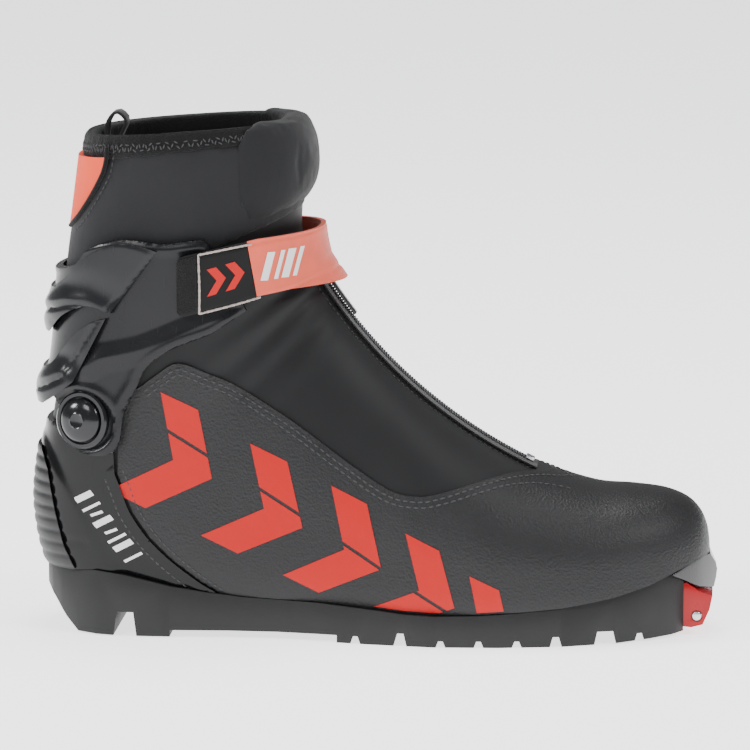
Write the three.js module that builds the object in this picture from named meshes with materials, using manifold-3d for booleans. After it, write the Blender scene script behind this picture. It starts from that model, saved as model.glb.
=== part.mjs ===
// Cross country ski boot, right foot. Millimetres, +X to the toe, -Y to the outer (lateral) side, +Z up.
import * as THREE from "three";
import { mergeVertices } from "three/addons/utils/BufferGeometryUtils.js";
import Module from "manifold-3d";

const wasm = await Module();
wasm.setup();

// ---------------------------------------------------------------- driving sizes
const BOOT_LENGTH = 275;
const COLLAR_HEIGHT = 205;
const BALL_WIDTH = 87;
const TOE_SWING = 3; // how far the toe leans to the inner side

const LINING_THICKNESS = 1.9;
const COVER_THICKNESS = 2;
const OVERLAY_THICKNESS = 1.2;
const COUNTER_THICKNESS = 2.2;
const GUARD_THICKNESS = 1.7;
const CUFF_STANDOFF = 3.1;
const CUFF_THICKNESS = 2.2;
const WING_THICKNESS = 2;
const STRAP_THICKNESS = 1.8;
const STRAP_LIFT = 1.6; // how much further off the strap's upper edge stands at the front
const STRAP_LOW_LIFT = 0.9; // and its lower edge
const STRAP_LOW_PLACE = 14.2; // the section at that lower edge
const HOOK_THICKNESS = 0.8;
const LOOP_THICKNESS = 0.8;
const PANEL_THICKNESS = 0.8;
const PAD_BULGE = 3.6;
const LOOP_INSET = 1.6; // how far inside the rim's back the pull loop is sewn
const BINDING_SHARE = 0.42; // of the last section's height
const BINDING_SPREAD = 0.9;
const BOARD_THICKNESS = 2;
const FOOTBED_THICKNESS = 4;

const HINGE_POINT = [-111.5, 87];
const PIN_RADIUS = 4;
const PIVOT_RING = 10.6;
const CAP_RADIUS = 8.75;
const CAP_HEIGHT = 3.6;
const CAP_WALL = 1.4;
const RING_RADIUS = 11.2;
const LEAN_FORWARD = 8; // degrees the cuff leans to the toe
const LEAN_BACK = 4;
const PAD_EDGE_ANGLE = 45.2; // where the leaning soft part begins, above the hinge's horizontal
const REAR_EDGE_ANGLE = 174;
const SWEEP_MARGIN = 1;

const ZIP_SAG = 9.5;
const TAPE_WIDTH = 15;
const TAPE_THICKNESS = 0.6;
const TAPE_GAP = 0.6;
const COIL_WIDTH = 4.2;
const COIL_HEIGHT = 1.1;
const SLIDER_LENGTH = 10;
const SLIDER_WIDTH = 8.4;
const SLIDER_THICKNESS = 1.1;
const PULLER_LENGTH = 16;

const BAR_RADIUS = 1.9;
const BAR_POINT = [130, 8];
const HOLDER_WIDTH = 28;
const HOLDER_SLOT = 14;
const RAIL_GROOVE_WIDTH = 5;
const RAIL_GROOVE_DEPTH = 4;
const RAIL_GROOVE_SPACING = 22;
const GUARD_RIBS = 9;

const CLEARANCE = 0.3;
const AROUND = 32; // points round one section of the boot

// The outlines below were drawn for a boot of these sizes.
const DRAWN_LENGTH = 275;
const DRAWN_HEIGHT = 205;
const DRAWN_BALL = 87;
const ANKLE_HEIGHT = 60; // heights under the ankle don't follow the collar
const REACH = 300; // further than any part of the boot
const DEGREE = Math.PI / 180;

const mapX = (x) => (x * BOOT_LENGTH) / DRAWN_LENGTH;
const mapY = (y) => (y * BALL_WIDTH) / DRAWN_BALL;
const SHAFT_STRETCH = (COLLAR_HEIGHT - ANKLE_HEIGHT) / (DRAWN_HEIGHT - ANKLE_HEIGHT);
const mapZ = (z) => (z <= ANKLE_HEIGHT ? z : ANKLE_HEIGHT + (z - ANKLE_HEIGHT) * SHAFT_STRETCH);
const at = ([x, z]) => new THREE.Vector2(mapX(x), mapZ(z));
const HINGE = at(HINGE_POINT);

// ---------------------------------------------------------------- zip arc
// The zip runs on a true arc, so that its slider can travel round one centre.
const ZIP_LOW = at([66, 66.5]);
const ZIP_HIGH = at([-25, 149.5]);
const zipChord = ZIP_LOW.distanceTo(ZIP_HIGH);
const ZIP_RADIUS = (zipChord * zipChord) / (8 * ZIP_SAG) + ZIP_SAG / 2;
const zipMiddle = ZIP_LOW.clone().add(ZIP_HIGH).multiplyScalar(0.5);
const zipAcross = new THREE.Vector2(ZIP_LOW.y - ZIP_HIGH.y, ZIP_HIGH.x - ZIP_LOW.x).normalize();
const ZIP_CENTRE = zipMiddle.clone().addScaledVector(zipAcross, ZIP_SAG - ZIP_RADIUS);
const zipAngle = (p) => Math.atan2(p.y - ZIP_CENTRE.y, p.x - ZIP_CENTRE.x);
const ZIP_FROM = zipAngle(ZIP_LOW);
const ZIP_TO = zipAngle(ZIP_HIGH);
const zipPoint = (share, radius) => {
  const angle = ZIP_FROM + (ZIP_TO - ZIP_FROM) * share;
  return [ZIP_CENTRE.x + radius * Math.cos(angle), ZIP_CENTRE.y + radius * Math.sin(angle)];
};
const CREST_RADIUS = ZIP_RADIUS + OVERLAY_THICKNESS + CLEARANCE;

// ---------------------------------------------------------------- the boot's skin
// Sections from the toe to the rim. Each is a rounded loop from a front (upper) to a back (lower) point.
const SECTIONS = [
  { front: [133.2, 36.5], back: [133.2, 27], half: 3.4, wide: 0.5, top: 2, low: 2 },
  { front: [132.2, 42], back: [132.2, 22], half: 9, wide: 0.52, top: 2.1, low: 2.6 },
  { front: [129.5, 47.6], back: [129.5, 19.5], half: 15.5, wide: 0.55, top: 2.2, low: 3.2 },
  { front: [124.5, 52], back: [124.5, 17.5], half: 21.5, wide: 0.58, top: 2.3, low: 4 },
  { front: [116, 54.9], back: [116, 15], half: 28.3, wide: 0.6, top: 2.35, low: 4.5 },
  { front: [104, 56.1], back: [104, 12], half: 34.4, wide: 0.6, top: 2.4, low: 5 },
  { front: [88, 57.4], back: [88, 8.5], half: 39.4, wide: 0.6, top: 2.35, low: 5 },
  { zip: 0, back: [66, 6], half: 42.2, wide: 0.62, top: 2.2, low: 5 },
  { zip: 0.2, back: [42, 4.5], half: 43.2, wide: 0.64, top: 2.1, low: 5 },
  { zip: 0.4, back: [15, 4.5], half: 40.6, wide: 0.64, top: 2.1, low: 5 },
  { zip: 0.55, back: [-18, 7], half: 35.5, wide: 0.62, top: 2.2, low: 5 },
  { zip: 0.7, back: [-57, 9], half: 33, wide: 0.6, top: 2.3, low: 4.6 },
  { zip: 0.8, back: [-96, 14], half: 32.2, wide: 0.57, top: 2.4, low: 3.8 },
  { zip: 0.88, back: [-123, 20], half: 32.2, wide: 0.55, top: 2.4, low: 3 },
  { zip: 0.94, back: [-132.4, 48], half: 32.6, wide: 0.52, top: 2.4, low: 2.6 },
  { zip: 1, back: [-129, 82], half: 33.2, wide: 0.5, top: 2.4, low: 2.5 },
  { front: [-28.6, 160], back: [-124, 112], half: 34, wide: 0.5, top: 2.4, low: 2.4 },
  { front: [-28.4, 172], back: [-121.4, 142], half: 34.6, wide: 0.5, top: 2.4, low: 2.4 },
  { front: [-28, 187], back: [-117.5, 170], half: 35.2, wide: 0.5, top: 2.4, low: 2.4 },
  { front: [-31.5, 205], back: [-113.7, 199], half: 35.8, wide: 0.5, top: 2.4, low: 2.4 },
];
const LAST = SECTIONS.length - 1;
const loops = SECTIONS.map((s) => {
  const front = s.front ? at(s.front).toArray() : zipPoint(s.zip, CREST_RADIUS);
  const back = at(s.back).toArray();
  return [...front, ...back, mapY(s.half), s.wide, s.top, s.low];
});

// The loop at a place between two sections, by a smooth curve through all of them.
function loopAt(place) {
  const low = Math.min(Math.floor(place), LAST - 1);
  const share = place - low;
  const [a, b, c, d] = [low - 1, low, low + 1, low + 2].map((i) => loops[Math.min(Math.max(i, 0), LAST)]);
  return b.map((value, i) => {
    const rise = (c[i] - a[i]) / 2;
    const fall = (d[i] - value) / 2;
    const step = c[i] - value;
    return value + share * (rise + share * (3 * step - 2 * rise - fall + share * (rise + fall - 2 * step)));
  });
}

const toeLean = (x) => {
  const share = THREE.MathUtils.smoothstep(x, 0, mapX(134));
  return TOE_SWING * share;
};

// A point of the skin: place runs from toe to rim, turn from the front line over the outer side to the back.
function skinPoint(place, turn) {
  const [frontX, frontZ, backX, backZ, half, wide, top, low] = loopAt(place);
  const along = Math.cos(turn);
  const across = Math.sin(turn);
  const power = 2 / (along > 0 ? top : low);
  const bend = Math.abs(along) ** power;
  const depth = along > 0 ? wide * (1 - bend) : wide + (1 - wide) * bend;
  const x = frontX + (backX - frontX) * depth;
  const side = -Math.sign(across) * Math.abs(across) ** power * half;
  return new THREE.Vector3(x, side + toeLean(x), frontZ + (backZ - frontZ) * depth);
}

function skinNormal(place, turn) {
  const step = 0.02;
  const before = Math.max(place - step, 0);
  const after = Math.min(place + step, LAST);
  const lengthwise = skinPoint(after, turn).sub(skinPoint(before, turn));
  const round = skinPoint(place, turn + 3 * step).sub(skinPoint(place, turn - 3 * step));
  return round.cross(lengthwise).normalize().negate();
}

function offsetPoint(place, turn, off) {
  const away = typeof off === "function" ? off(place, turn) : off;
  return skinPoint(place, turn).addScaledVector(skinNormal(place, turn), away);
}

// The skin's point at a side-view position, on the outer (-1) or the inner (1) side.
function skinAt(point, side) {
  let best = { miss: Infinity };
  let span = { place: LAST / 2, turn: Math.PI / 2, reach: 1 };
  for (let round = 0; round < 6; round += 1) {
    const centre = round === 0 ? span : best;
    for (let i = -20; i <= 20; i += 1) {
      for (let j = -20; j <= 20; j += 1) {
        const place = THREE.MathUtils.clamp(centre.place + (i / 20) * (LAST / 2) * span.reach, 0, LAST);
        const turn = THREE.MathUtils.clamp(centre.turn + (j / 20) * (Math.PI / 2) * span.reach, 0, Math.PI);
        const found = skinPoint(place, turn);
        const miss = Math.hypot(found.x - point.x, found.z - point.y);
        if (miss < best.miss) best = { miss, place, turn };
      }
    }
    span = { reach: span.reach / 5 };
  }
  const turn = side < 0 ? best.turn : 2 * Math.PI - best.turn;
  return { point: skinPoint(best.place, turn), normal: skinNormal(best.place, turn) };
}

// ---------------------------------------------------------------- solids
function solid(geometry) {
  const plain = geometry.clone();
  plain.deleteAttribute("normal");
  plain.deleteAttribute("uv");
  const merged = mergeVertices(plain, 1e-4);
  return new wasm.Manifold(
    new wasm.Mesh({
      numProp: 3,
      vertProperties: merged.attributes.position.array,
      triVerts: new Uint32Array(merged.index.array),
    }),
  );
}

// A closed solid from rings of points: a tube, or with inner rings a tube wall; the toe end closes on itself.
function tubeSolid(from, to, inner, outer) {
  const places = [from];
  for (let place = Math.floor(from) + 1; place < to; place += 1) places.push(place);
  places.push(to);
  const positions = [];
  const faces = [];
  const quad = (a, b, c, d) => faces.push(a, c, b, a, d, c);
  const ringsOf = (off) =>
    places.map((place) => {
      const start = positions.length / 3;
      for (let j = 0; j < AROUND; j += 1) {
        positions.push(...offsetPoint(place, (2 * Math.PI * j) / AROUND, off).toArray());
      }
      return start;
    });
  const poleOf = (rings, ring) => {
    const middle = new THREE.Vector3();
    for (let j = 0; j < AROUND; j += 1) {
      middle.add(new THREE.Vector3(...positions.slice(3 * (rings[ring] + j), 3 * (rings[ring] + j) + 3)));
    }
    positions.push(...middle.divideScalar(AROUND).toArray());
    return positions.length / 3 - 1;
  };
  const outside = ringsOf(outer);
  const inside = inner === null ? null : ringsOf(inner);
  const end = places.length - 1;
  const closesAtToe = from === 0 || inside === null;
  const outerToe = closesAtToe ? poleOf(outside, 0) : 0;
  const innerToe = closesAtToe && inside ? poleOf(inside, 0) : 0;
  const outerEnd = inside === null ? poleOf(outside, end) : 0;
  for (let j = 0; j < AROUND; j += 1) {
    const next = (j + 1) % AROUND;
    for (let k = 0; k < end; k += 1) {
      quad(outside[k] + j, outside[k] + next, outside[k + 1] + next, outside[k + 1] + j);
      if (inside) quad(inside[k] + j, inside[k + 1] + j, inside[k + 1] + next, inside[k] + next);
    }
    if (closesAtToe) {
      faces.push(outerToe, outside[0] + j, outside[0] + next);
      if (inside) faces.push(innerToe, inside[0] + next, inside[0] + j);
    } else {
      quad(outside[0] + next, outside[0] + j, inside[0] + j, inside[0] + next);
    }
    if (inside) quad(outside[end] + j, outside[end] + next, inside[end] + next, inside[end] + j);
    else faces.push(outerEnd, outside[end] + next, outside[end] + j);
  }
  const geometry = new THREE.BufferGeometry();
  geometry.setAttribute("position", new THREE.Float32BufferAttribute(positions, 3));
  geometry.setIndex(faces);
  return solid(geometry);
}

const layer = (inner, outer, from = 0, to = LAST) => tubeSolid(from, to, inner, outer);

// A side-view outline taken through the whole boot, or between two values of Y.
function sidePrism(points, fromY = -REACH / 2, toY = REACH / 2) {
  const geometry = new THREE.ExtrudeGeometry(new THREE.Shape(points), {
    depth: toY - fromY,
    bevelEnabled: false,
  });
  geometry.rotateX(Math.PI / 2);
  geometry.translate(0, toY, 0);
  return solid(geometry);
}

function planPrism(points, fromZ, toZ) {
  const geometry = new THREE.ExtrudeGeometry(new THREE.Shape(points), {
    depth: toZ - fromZ,
    bevelEnabled: false,
  });
  geometry.translate(0, 0, fromZ);
  return solid(geometry);
}

const drawn = (points) => points.map(at);
const curved = (points, steps) => new THREE.SplineCurve(drawn(points)).getPoints(steps);

// A cylinder along Y, centred on a side-view point.
function crossCylinder(point, radius, fromY, toY, segments = 32) {
  const geometry = new THREE.CylinderGeometry(radius, radius, toY - fromY, segments);
  geometry.translate(point.x, (fromY + toY) / 2, point.y);
  return solid(geometry);
}

// A turned profile of [radius, height] points, standing on a point along a direction.
function turned(profile, point, direction, segments = 32) {
  const geometry = new THREE.LatheGeometry(
    profile.map(([radius, height]) => new THREE.Vector2(radius, height)),
    segments,
  );
  geometry.applyQuaternion(
    new THREE.Quaternion().setFromUnitVectors(new THREE.Vector3(0, 1, 0), direction),
  );
  geometry.translate(point.x, point.y, point.z);
  return solid(geometry);
}

// The part of the side view between two angles round the hinge, kept a gap inside both edges.
function hingeWedge(fromAngle, toAngle, gap = 0) {
  const half = ((toAngle - fromAngle) / 2) * DEGREE;
  const middle = ((fromAngle + toAngle) / 2) * DEGREE;
  const apexOff = gap / Math.sin(half);
  const apex = new THREE.Vector2(
    HINGE.x + apexOff * Math.cos(middle),
    HINGE.y + apexOff * Math.sin(middle),
  );
  const points = [apex];
  const steps = Math.ceil((toAngle - fromAngle) / 20);
  for (let i = 0; i <= steps; i += 1) {
    const angle = (fromAngle + ((toAngle - fromAngle) * i) / steps) * DEGREE;
    points.push(
      new THREE.Vector2(apex.x + REACH * Math.cos(angle), apex.y + REACH * Math.sin(angle)),
    );
  }
  return sidePrism(points);
}

// A strip along the zip arc, between two radii, centred on the boot's middle plane.
function zipStrip(fromShare, toShare, farRadius, nearRadius, width, steps = 16) {
  const points = [];
  for (let i = 0; i <= steps; i += 1) {
    points.push(zipPoint(fromShare + ((toShare - fromShare) * i) / steps, farRadius));
  }
  for (let i = steps; i >= 0; i -= 1) {
    points.push(zipPoint(fromShare + ((toShare - fromShare) * i) / steps, nearRadius));
  }
  return sidePrism(
    points.map(([x, z]) => new THREE.Vector2(x, z)),
    -width / 2,
    width / 2,
  );
}

// ---------------------------------------------------------------- the group
const group = new THREE.Group();
group.name = "ski_boot";
const made = new Map();

function add(name, shape, colour) {
  made.set(name, { shape, colour });
  return shape;
}

// ---------------------------------------------------------------- regions of the side view
const SEAT_LINE = [
  [-150, 25.4], [-119.4, 25.4], [-108.6, 26.4], [-96.7, 25], [-78.8, 20.8], [-64.5, 18.5], [-50, 16.8],
  [-35.9, 16.1], [-19.3, 15.6], [1.4, 14], [15, 12.7], [26.3, 12.3], [44, 12.8], [60, 13.8], [77, 15.3],
  [97.5, 19], [111.7, 23.1], [121.6, 27.3], [128.8, 30.2], [134, 31.3], [150, 31.6],
];
const seatAbove = (lift) =>
  sidePrism([
    ...drawn(SEAT_LINE.map(([x, z]) => [x, z + lift])),
    at([150, 400]),
    at([-150, 400]),
  ]);
const aboveSeat = seatAbove(CLEARANCE);

const STATIC_EDGE = PAD_EDGE_ANGLE - LEAN_FORWARD - SWEEP_MARGIN;
const REAR_MOVING_EDGE = REAR_EDGE_ANGLE - LEAN_BACK - SWEEP_MARGIN;
const pivotDisc = crossCylinder(HINGE, PIVOT_RING, -REACH / 2, REACH / 2);
const pivotDiscGap = crossCylinder(HINGE, PIVOT_RING + CLEARANCE, -REACH / 2, REACH / 2);
const leaningRegion = hingeWedge(PAD_EDGE_ANGLE, REAR_MOVING_EDGE).subtract(pivotDiscGap);
const notFixedRegion = hingeWedge(STATIC_EDGE, REAR_EDGE_ANGLE).subtract(pivotDisc);
const frontGussetRegion = hingeWedge(STATIC_EDGE, PAD_EDGE_ANGLE, CLEARANCE).subtract(pivotDiscGap);
const rearGussetRegion = hingeWedge(REAR_MOVING_EDGE, REAR_EDGE_ANGLE, CLEARANCE).subtract(pivotDiscGap);

// ---------------------------------------------------------------- soft layers
const liningOuter = -COVER_THICKNESS - CLEARANCE;
const liningInner = liningOuter - LINING_THICKNESS;
const bindingFrom = LAST - BINDING_SHARE;
const shaftTop = bindingFrom - 0.02;
const coverLayer = layer(-COVER_THICKNESS, 0, 0, shaftTop);
const liningLayer = layer(liningInner, liningOuter, 0, shaftTop);

const cover = add("softshell_cover", coverLayer.intersect(aboveSeat).subtract(notFixedRegion), 0x17181a);
const collar = add("collar", coverLayer.intersect(leaningRegion), 0x2b2c30);
const aboveBoard = seatAbove(BOARD_THICKNESS + 2 * CLEARANCE);
add("lining_foot", liningLayer.intersect(aboveBoard).subtract(notFixedRegion), 0x3a3b3f);
add("lining_shaft", liningLayer.intersect(leaningRegion), 0x3a3b3f);
const gussetLayer = layer(liningInner, 0, 8, LAST);
add("front_gusset", gussetLayer.intersect(frontGussetRegion), 0x1d1e20);
add("rear_gusset", gussetLayer.intersect(rearGussetRegion), 0x1d1e20);

const boardBody = tubeSolid(0, LAST, null, liningOuter);
const board = seatAbove(CLEARANCE).subtract(seatAbove(CLEARANCE + BOARD_THICKNESS));
add("lasting_board", boardBody.intersect(board), 0x8a7a63);
const footbedBody = tubeSolid(0, LAST, null, liningInner - CLEARANCE);
const bedFrom = BOARD_THICKNESS + 2 * CLEARANCE;
const bed = seatAbove(bedFrom).subtract(seatAbove(bedFrom + FOOTBED_THICKNESS));
add("footbed", footbedBody.intersect(bed), 0x4a4d52);

const bindingShape = layer(liningInner - CLEARANCE, BINDING_SPREAD, bindingFrom, LAST);
add("collar_binding", bindingShape, 0x303136);

// ---------------------------------------------------------------- tongue pad and back panel
const padInner = (place) => (place > LAST - 1.5 ? BINDING_SPREAD + CLEARANCE : CLEARANCE);
const padSwell = (place, turn) => {
  const height = THREE.MathUtils.clamp((place - 16.6) / (LAST - 16.6), 0, 1);
  const rise = Math.sin(Math.PI * Math.min(height * 0.95 + 0.05, 1)) ** 0.6;
  return padInner(place) + 1.2 + PAD_BULGE * rise * Math.max(Math.cos(turn), 0) ** 0.5;
};
const padOutline = drawn([[-36, 212], [0, 212], [0, 150], [-29.5, 164], [-33.5, 176], [-35.5, 190]]);
const padRegion = sidePrism(padOutline).intersect(leaningRegion);
add("tongue_pad", layer(padInner, padSwell, 15, LAST).intersect(padRegion), 0x2a2b2e);

const panelEdge = [[-102.4, 206], [-102.4, 194.5], [-103.6, 187], [-106.8, 180], [-110.8, 173], [-114.8, 167]];
const panelOutline = drawn([...panelEdge, [-119.5, 161.5], [-140, 160], [-140, 206]]);
const panelLayer = layer(CLEARANCE, CLEARANCE + PANEL_THICKNESS, 16, shaftTop);
add("back_panel", panelLayer.intersect(sidePrism(panelOutline)), 0xee8269);

// ---------------------------------------------------------------- vamp, counter and guard
const COUNTER_FRONT = [
  [-60.8, 18.6], [-67.2, 22.5], [-78.6, 31.3], [-87.6, 40.3], [-94.5, 50.6], [-97.7, 59], [-100.4, 66],
];
const VAMP_TOP = [
  [-98.6, 96], [-90, 101], [-83, 106], [-74.7, 110.6], [-51, 101], [-29.3, 87.2], [-9.1, 72.6], [7.9, 61.6],
  [18.7, 59.1], [27.4, 60.1], [43.6, 64.1], [53.7, 65.8], [62.5, 65.7], [70, 64.6], [80, 62.5], [84, 90],
];
const vampOutline = drawn([
  ...VAMP_TOP, [150, 90], [150, 0], [-59, 0], ...COUNTER_FRONT.map(([x, z]) => [x + 1.1, z]),
]);
const overlayOuter = CLEARANCE + OVERLAY_THICKNESS;
const vamp = layer(CLEARANCE, overlayOuter, 0, 16).intersect(aboveSeat);
add("vamp_overlay", vamp.intersect(sidePrism(vampOutline)).subtract(notFixedRegion), 0x3c3c3e);

const counterOutline = drawn([
  ...COUNTER_FRONT, [-100.8, 74], [-101.2, 86], [-103.2, 90.6], [-106.4, 93.6], [-111.5, 95],
  [-116.2, 93.6], [-119.6, 89.4], [-121.4, 85], [-128, 84.4], [-150, 84], [-150, 0], [-61, 0],
]);
const counterOuter = CLEARANCE + COUNTER_THICKNESS;
const pinHole = crossCylinder(HINGE, PIN_RADIUS + CLEARANCE, -REACH / 2, REACH / 2);
const counterLayer = layer(CLEARANCE, counterOuter, 9, LAST - 3).intersect(aboveSeat);
add("heel_counter", counterLayer.intersect(sidePrism(counterOutline)).subtract(pinHole), 0x232427);

const guardOuter = counterOuter + CLEARANCE + GUARD_THICKNESS;
const guardOutline = drawn([
  [-150, 74], [-131.8, 74], [-128.6, 66], [-125.5, 50], [-122, 36], [-117.5, 26.5], [-117.5, 20], [-150, 20],
]);
let guard = layer(counterOuter + CLEARANCE, guardOuter, 9, LAST - 3).intersect(aboveSeat);
guard = guard.intersect(sidePrism(guardOutline));
for (let rib = 1; rib < GUARD_RIBS; rib += 1) {
  const height = mapZ(30 + (rib * 42) / GUARD_RIBS);
  const groove = sidePrism([
    new THREE.Vector2(mapX(-135.7), height),
    new THREE.Vector2(mapX(-150), height + 5),
    new THREE.Vector2(mapX(-150), height - 5),
  ]);
  guard = guard.subtract(groove);
}
add("heel_guard", guard, 0x2c2d30);

// ---------------------------------------------------------------- cuff, wings and hinge
const cuffInner = CUFF_STANDOFF;
const cuffOuter = cuffInner + CUFF_THICKNESS;
const cuffOutline = drawn([
  [-47.7, 131.9], [-52, 141], [-62, 157.6], [-65.7, 160.2], [-79.8, 158.6], [-95.9, 160], [-110.3, 155.4],
  [-119.5, 147], [-150, 142], [-150, 98], [-128, 98], [-123.6, 92], [-122.6, 84.5], [-118, 77.2],
  [-109.9, 73.4], [-101.8, 74.5], [-98, 79.8], [-95.9, 91.9], [-90.6, 102.1], [-87, 109.4], [-77.8, 116.4],
  [-61.7, 122.6],
]);
const loopOutline = drawn([[-72, 133.4], [-54, 138], [-56.5, 153.5], [-72, 150.5]]);
const loopGapOutline = drawn([[-72.8, 132.6], [-53.1, 137.4], [-56, 154.5], [-72.8, 151.3]]);
const loopPocket = layer(cuffOuter - LOOP_THICKNESS - CLEARANCE, cuffOuter + 1, 13, LAST);
const pocket = loopPocket.intersect(sidePrism(loopGapOutline, -REACH / 2, 0));
const rivetSpot = skinAt(at([-66, 144]), 1);
const rivetHole = turned(
  [[0, -2], [2.3, -2], [2.3, 20], [0, 20]], rivetSpot.point, rivetSpot.normal, 16,
);
let cuff = layer(cuffInner, cuffOuter, 12, LAST).intersect(sidePrism(cuffOutline));
cuff = cuff.subtract(pinHole).subtract(pocket).subtract(rivetHole);
add("cuff_shell", cuff, 0x313236);
const loopLayer = layer(cuffOuter - LOOP_THICKNESS, cuffOuter, 13, LAST);
add("loop_patch", loopLayer.intersect(sidePrism(loopOutline, -REACH / 2, 0)), 0x1a1a1c);

const wingInner = cuffOuter + CLEARANCE;
const wingOuter = wingInner + WING_THICKNESS;
const wingLayer = layer(wingInner, wingOuter, 13, LAST);
const upperWingOutline = drawn([
  [-82.2, 155.8], [-91.4, 158.6], [-99.5, 158], [-111.5, 152.2], [-119.5, 143.5], [-127.1, 138], [-150, 135],
  [-150, 118.5], [-128.3, 120.2], [-122, 128], [-114, 132.5], [-107.5, 133], [-101.5, 130.5],
]);
add("upper_wing", wingLayer.intersect(sidePrism(upperWingOutline)), 0x3a3b40);
const lowerWingOutline = drawn([
  [-103, 128.6], [-109, 126.6], [-115.5, 122], [-122, 114.5], [-130.3, 106], [-150, 103], [-150, 91.5],
  [-130.7, 92], [-124.5, 96.5], [-116.8, 102.6],
]);
add("lower_wing", wingLayer.intersect(sidePrism(lowerWingOutline)), 0x34353a);

for (const [suffix, side] of [["outer", -1], ["inner", 1]]) {
  const spot = skinAt(HINGE, side);
  const slope = Math.hypot(spot.normal.x, spot.normal.z) / Math.abs(spot.normal.y);
  const pinFrom = spot.point.y + side * (CLEARANCE + PIN_RADIUS * slope);
  const pinTo = spot.point.y + side * (cuffOuter + 0.8);
  const pin = crossCylinder(HINGE, PIN_RADIUS, Math.min(pinFrom, pinTo), Math.max(pinFrom, pinTo));
  add("hinge_pin_" + suffix, pin, 0x8d9095);
  const seat = spot.point.clone().addScaledVector(spot.normal, cuffOuter + CLEARANCE);
  const dome = [];
  for (let i = 0; i <= 6; i += 1) {
    const angle = (i / 6) * (Math.PI / 2);
    dome.push([CAP_RADIUS * Math.cos(angle), 1 + (CAP_HEIGHT - 1) * Math.sin(angle)]);
  }
  const hollow = CAP_RADIUS - CAP_WALL;
  dome[6][0] = 0;
  const capProfile = [[0, CAP_HEIGHT - CAP_WALL], [hollow * 0.7, CAP_HEIGHT - CAP_WALL - 0.3]];
  capProfile.push([hollow, 0], [CAP_RADIUS, 0], ...dome);
  add("hinge_cap_" + suffix, turned(capProfile, seat, spot.normal), 0x2a2b2f);
  const ringInner = CAP_RADIUS + CLEARANCE;
  const ringProfile = [[ringInner, 0], [RING_RADIUS, 0], [RING_RADIUS - 0.6, 0.9], [ringInner, 0.9], [ringInner, 0]];
  add("hinge_ring_" + suffix, turned(ringProfile, seat, spot.normal), 0x17181a);
}

// ---------------------------------------------------------------- strap
const strapOutline = drawn([
  [-74, 129.6], [-58, 133.8], [-43, 138], [-30, 140.2], [-5, 141.6], [-5, 163.6], [-30, 161.8], [-43, 160.7],
  [-58, 157.5], [-74, 153.9],
]);
// The strap stands nearly upright at the front, so its lower edge is closer to the leaning instep.
const lift = (base) => (place, turn) => {
  const rise = THREE.MathUtils.clamp((place - STRAP_LOW_PLACE) / 2, 0, 1);
  const front = Math.max(Math.cos(turn), 0) ** 1.5;
  return base + front * (STRAP_LIFT * rise + STRAP_LOW_LIFT * (1 - rise));
};
const hookInner = cuffOuter + CLEARANCE;
const strapInner = hookInner + HOOK_THICKNESS + CLEARANCE;
const strapOuter = strapInner + STRAP_THICKNESS;
const strapBand = layer(lift(strapInner), lift(strapOuter), 12, LAST).intersect(sidePrism(strapOutline));
const SPLIT_LOW = at([-42, 130]);
const SPLIT_HIGH = at([-48, 166]);
const endRegion = sidePrism(
  [SPLIT_LOW, SPLIT_HIGH, at([-150, 166]), at([-150, 120])], -REACH / 2, 0,
);
const frontRegion = sidePrism(
  [
    new THREE.Vector2(SPLIT_LOW.x + CLEARANCE, SPLIT_LOW.y),
    at([20, 120]), at([20, 170]),
    new THREE.Vector2(SPLIT_HIGH.x + CLEARANCE, SPLIT_HIGH.y),
  ],
  -REACH / 2, 0,
);
const innerSide = sidePrism(drawn([[-150, 100], [20, 100], [20, 190], [-150, 190]]), -0.05, REACH / 2);
add("strap_end", strapBand.intersect(endRegion), 0x1b1b1d);
add("strap_front", strapBand.intersect(frontRegion.add(innerSide)).subtract(rivetHole), 0xf0967f);
const hookOutline = drawn([[-73, 131], [-66, 132.8], [-66, 154], [-73, 152.8]]);
const hookLayer = layer(hookInner, hookInner + HOOK_THICKNESS, 13, LAST);
add("hook_patch", hookLayer.intersect(sidePrism(hookOutline, -REACH / 2, 0)), 0x111113);
const rivetProfile = [
  [0, cuffInner - 0.2], [2, cuffInner - 0.2], [2, strapOuter + 0.8], [4.4, strapOuter + 0.8],
  [3.8, strapOuter + 1.8], [0, strapOuter + 2.2],
];
add("strap_rivet", turned(rivetProfile, rivetSpot.point, rivetSpot.normal, 16), 0x9a9da2);

// ---------------------------------------------------------------- zip
const tapeFar = CREST_RADIUS - TAPE_GAP;
const tapeNear = tapeFar - TAPE_THICKNESS;
const coilFar = tapeNear - CLEARANCE;
const coilNear = coilFar - COIL_HEIGHT;
const sliderFar = coilNear - CLEARANCE;
const zipLength = ZIP_RADIUS * Math.abs(ZIP_TO - ZIP_FROM);
const shareOf = (length) => length / zipLength;
const coilTop = 1 - shareOf(2);
add("zip_tape", zipStrip(0, 1 - shareOf(1), tapeFar, tapeNear, TAPE_WIDTH), 0x151517);
add("zip_coil", zipStrip(shareOf(6), coilTop, coilFar, coilNear, COIL_WIDTH), 0x9da1a6);
add("zip_stop", zipStrip(shareOf(2), shareOf(5.6), coilFar, coilNear - 0.5, COIL_WIDTH + 1, 2), 0xa8abb0);
const sliderFrom = coilTop - shareOf(SLIDER_LENGTH + 1);
const sliderTo = coilTop - shareOf(1);
const sliderNear = sliderFar - SLIDER_THICKNESS;
const sliderPlate = zipStrip(sliderFrom, sliderTo, sliderFar, sliderNear, SLIDER_WIDTH, 4);
const sliderBody = zipStrip(sliderFrom, sliderTo, coilFar, sliderNear, SLIDER_WIDTH, 4);
const coilSpace = zipStrip(
  sliderFrom - shareOf(1), sliderTo + shareOf(1), coilFar + 1, sliderFar, COIL_WIDTH + 2 * CLEARANCE, 4,
);
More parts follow.
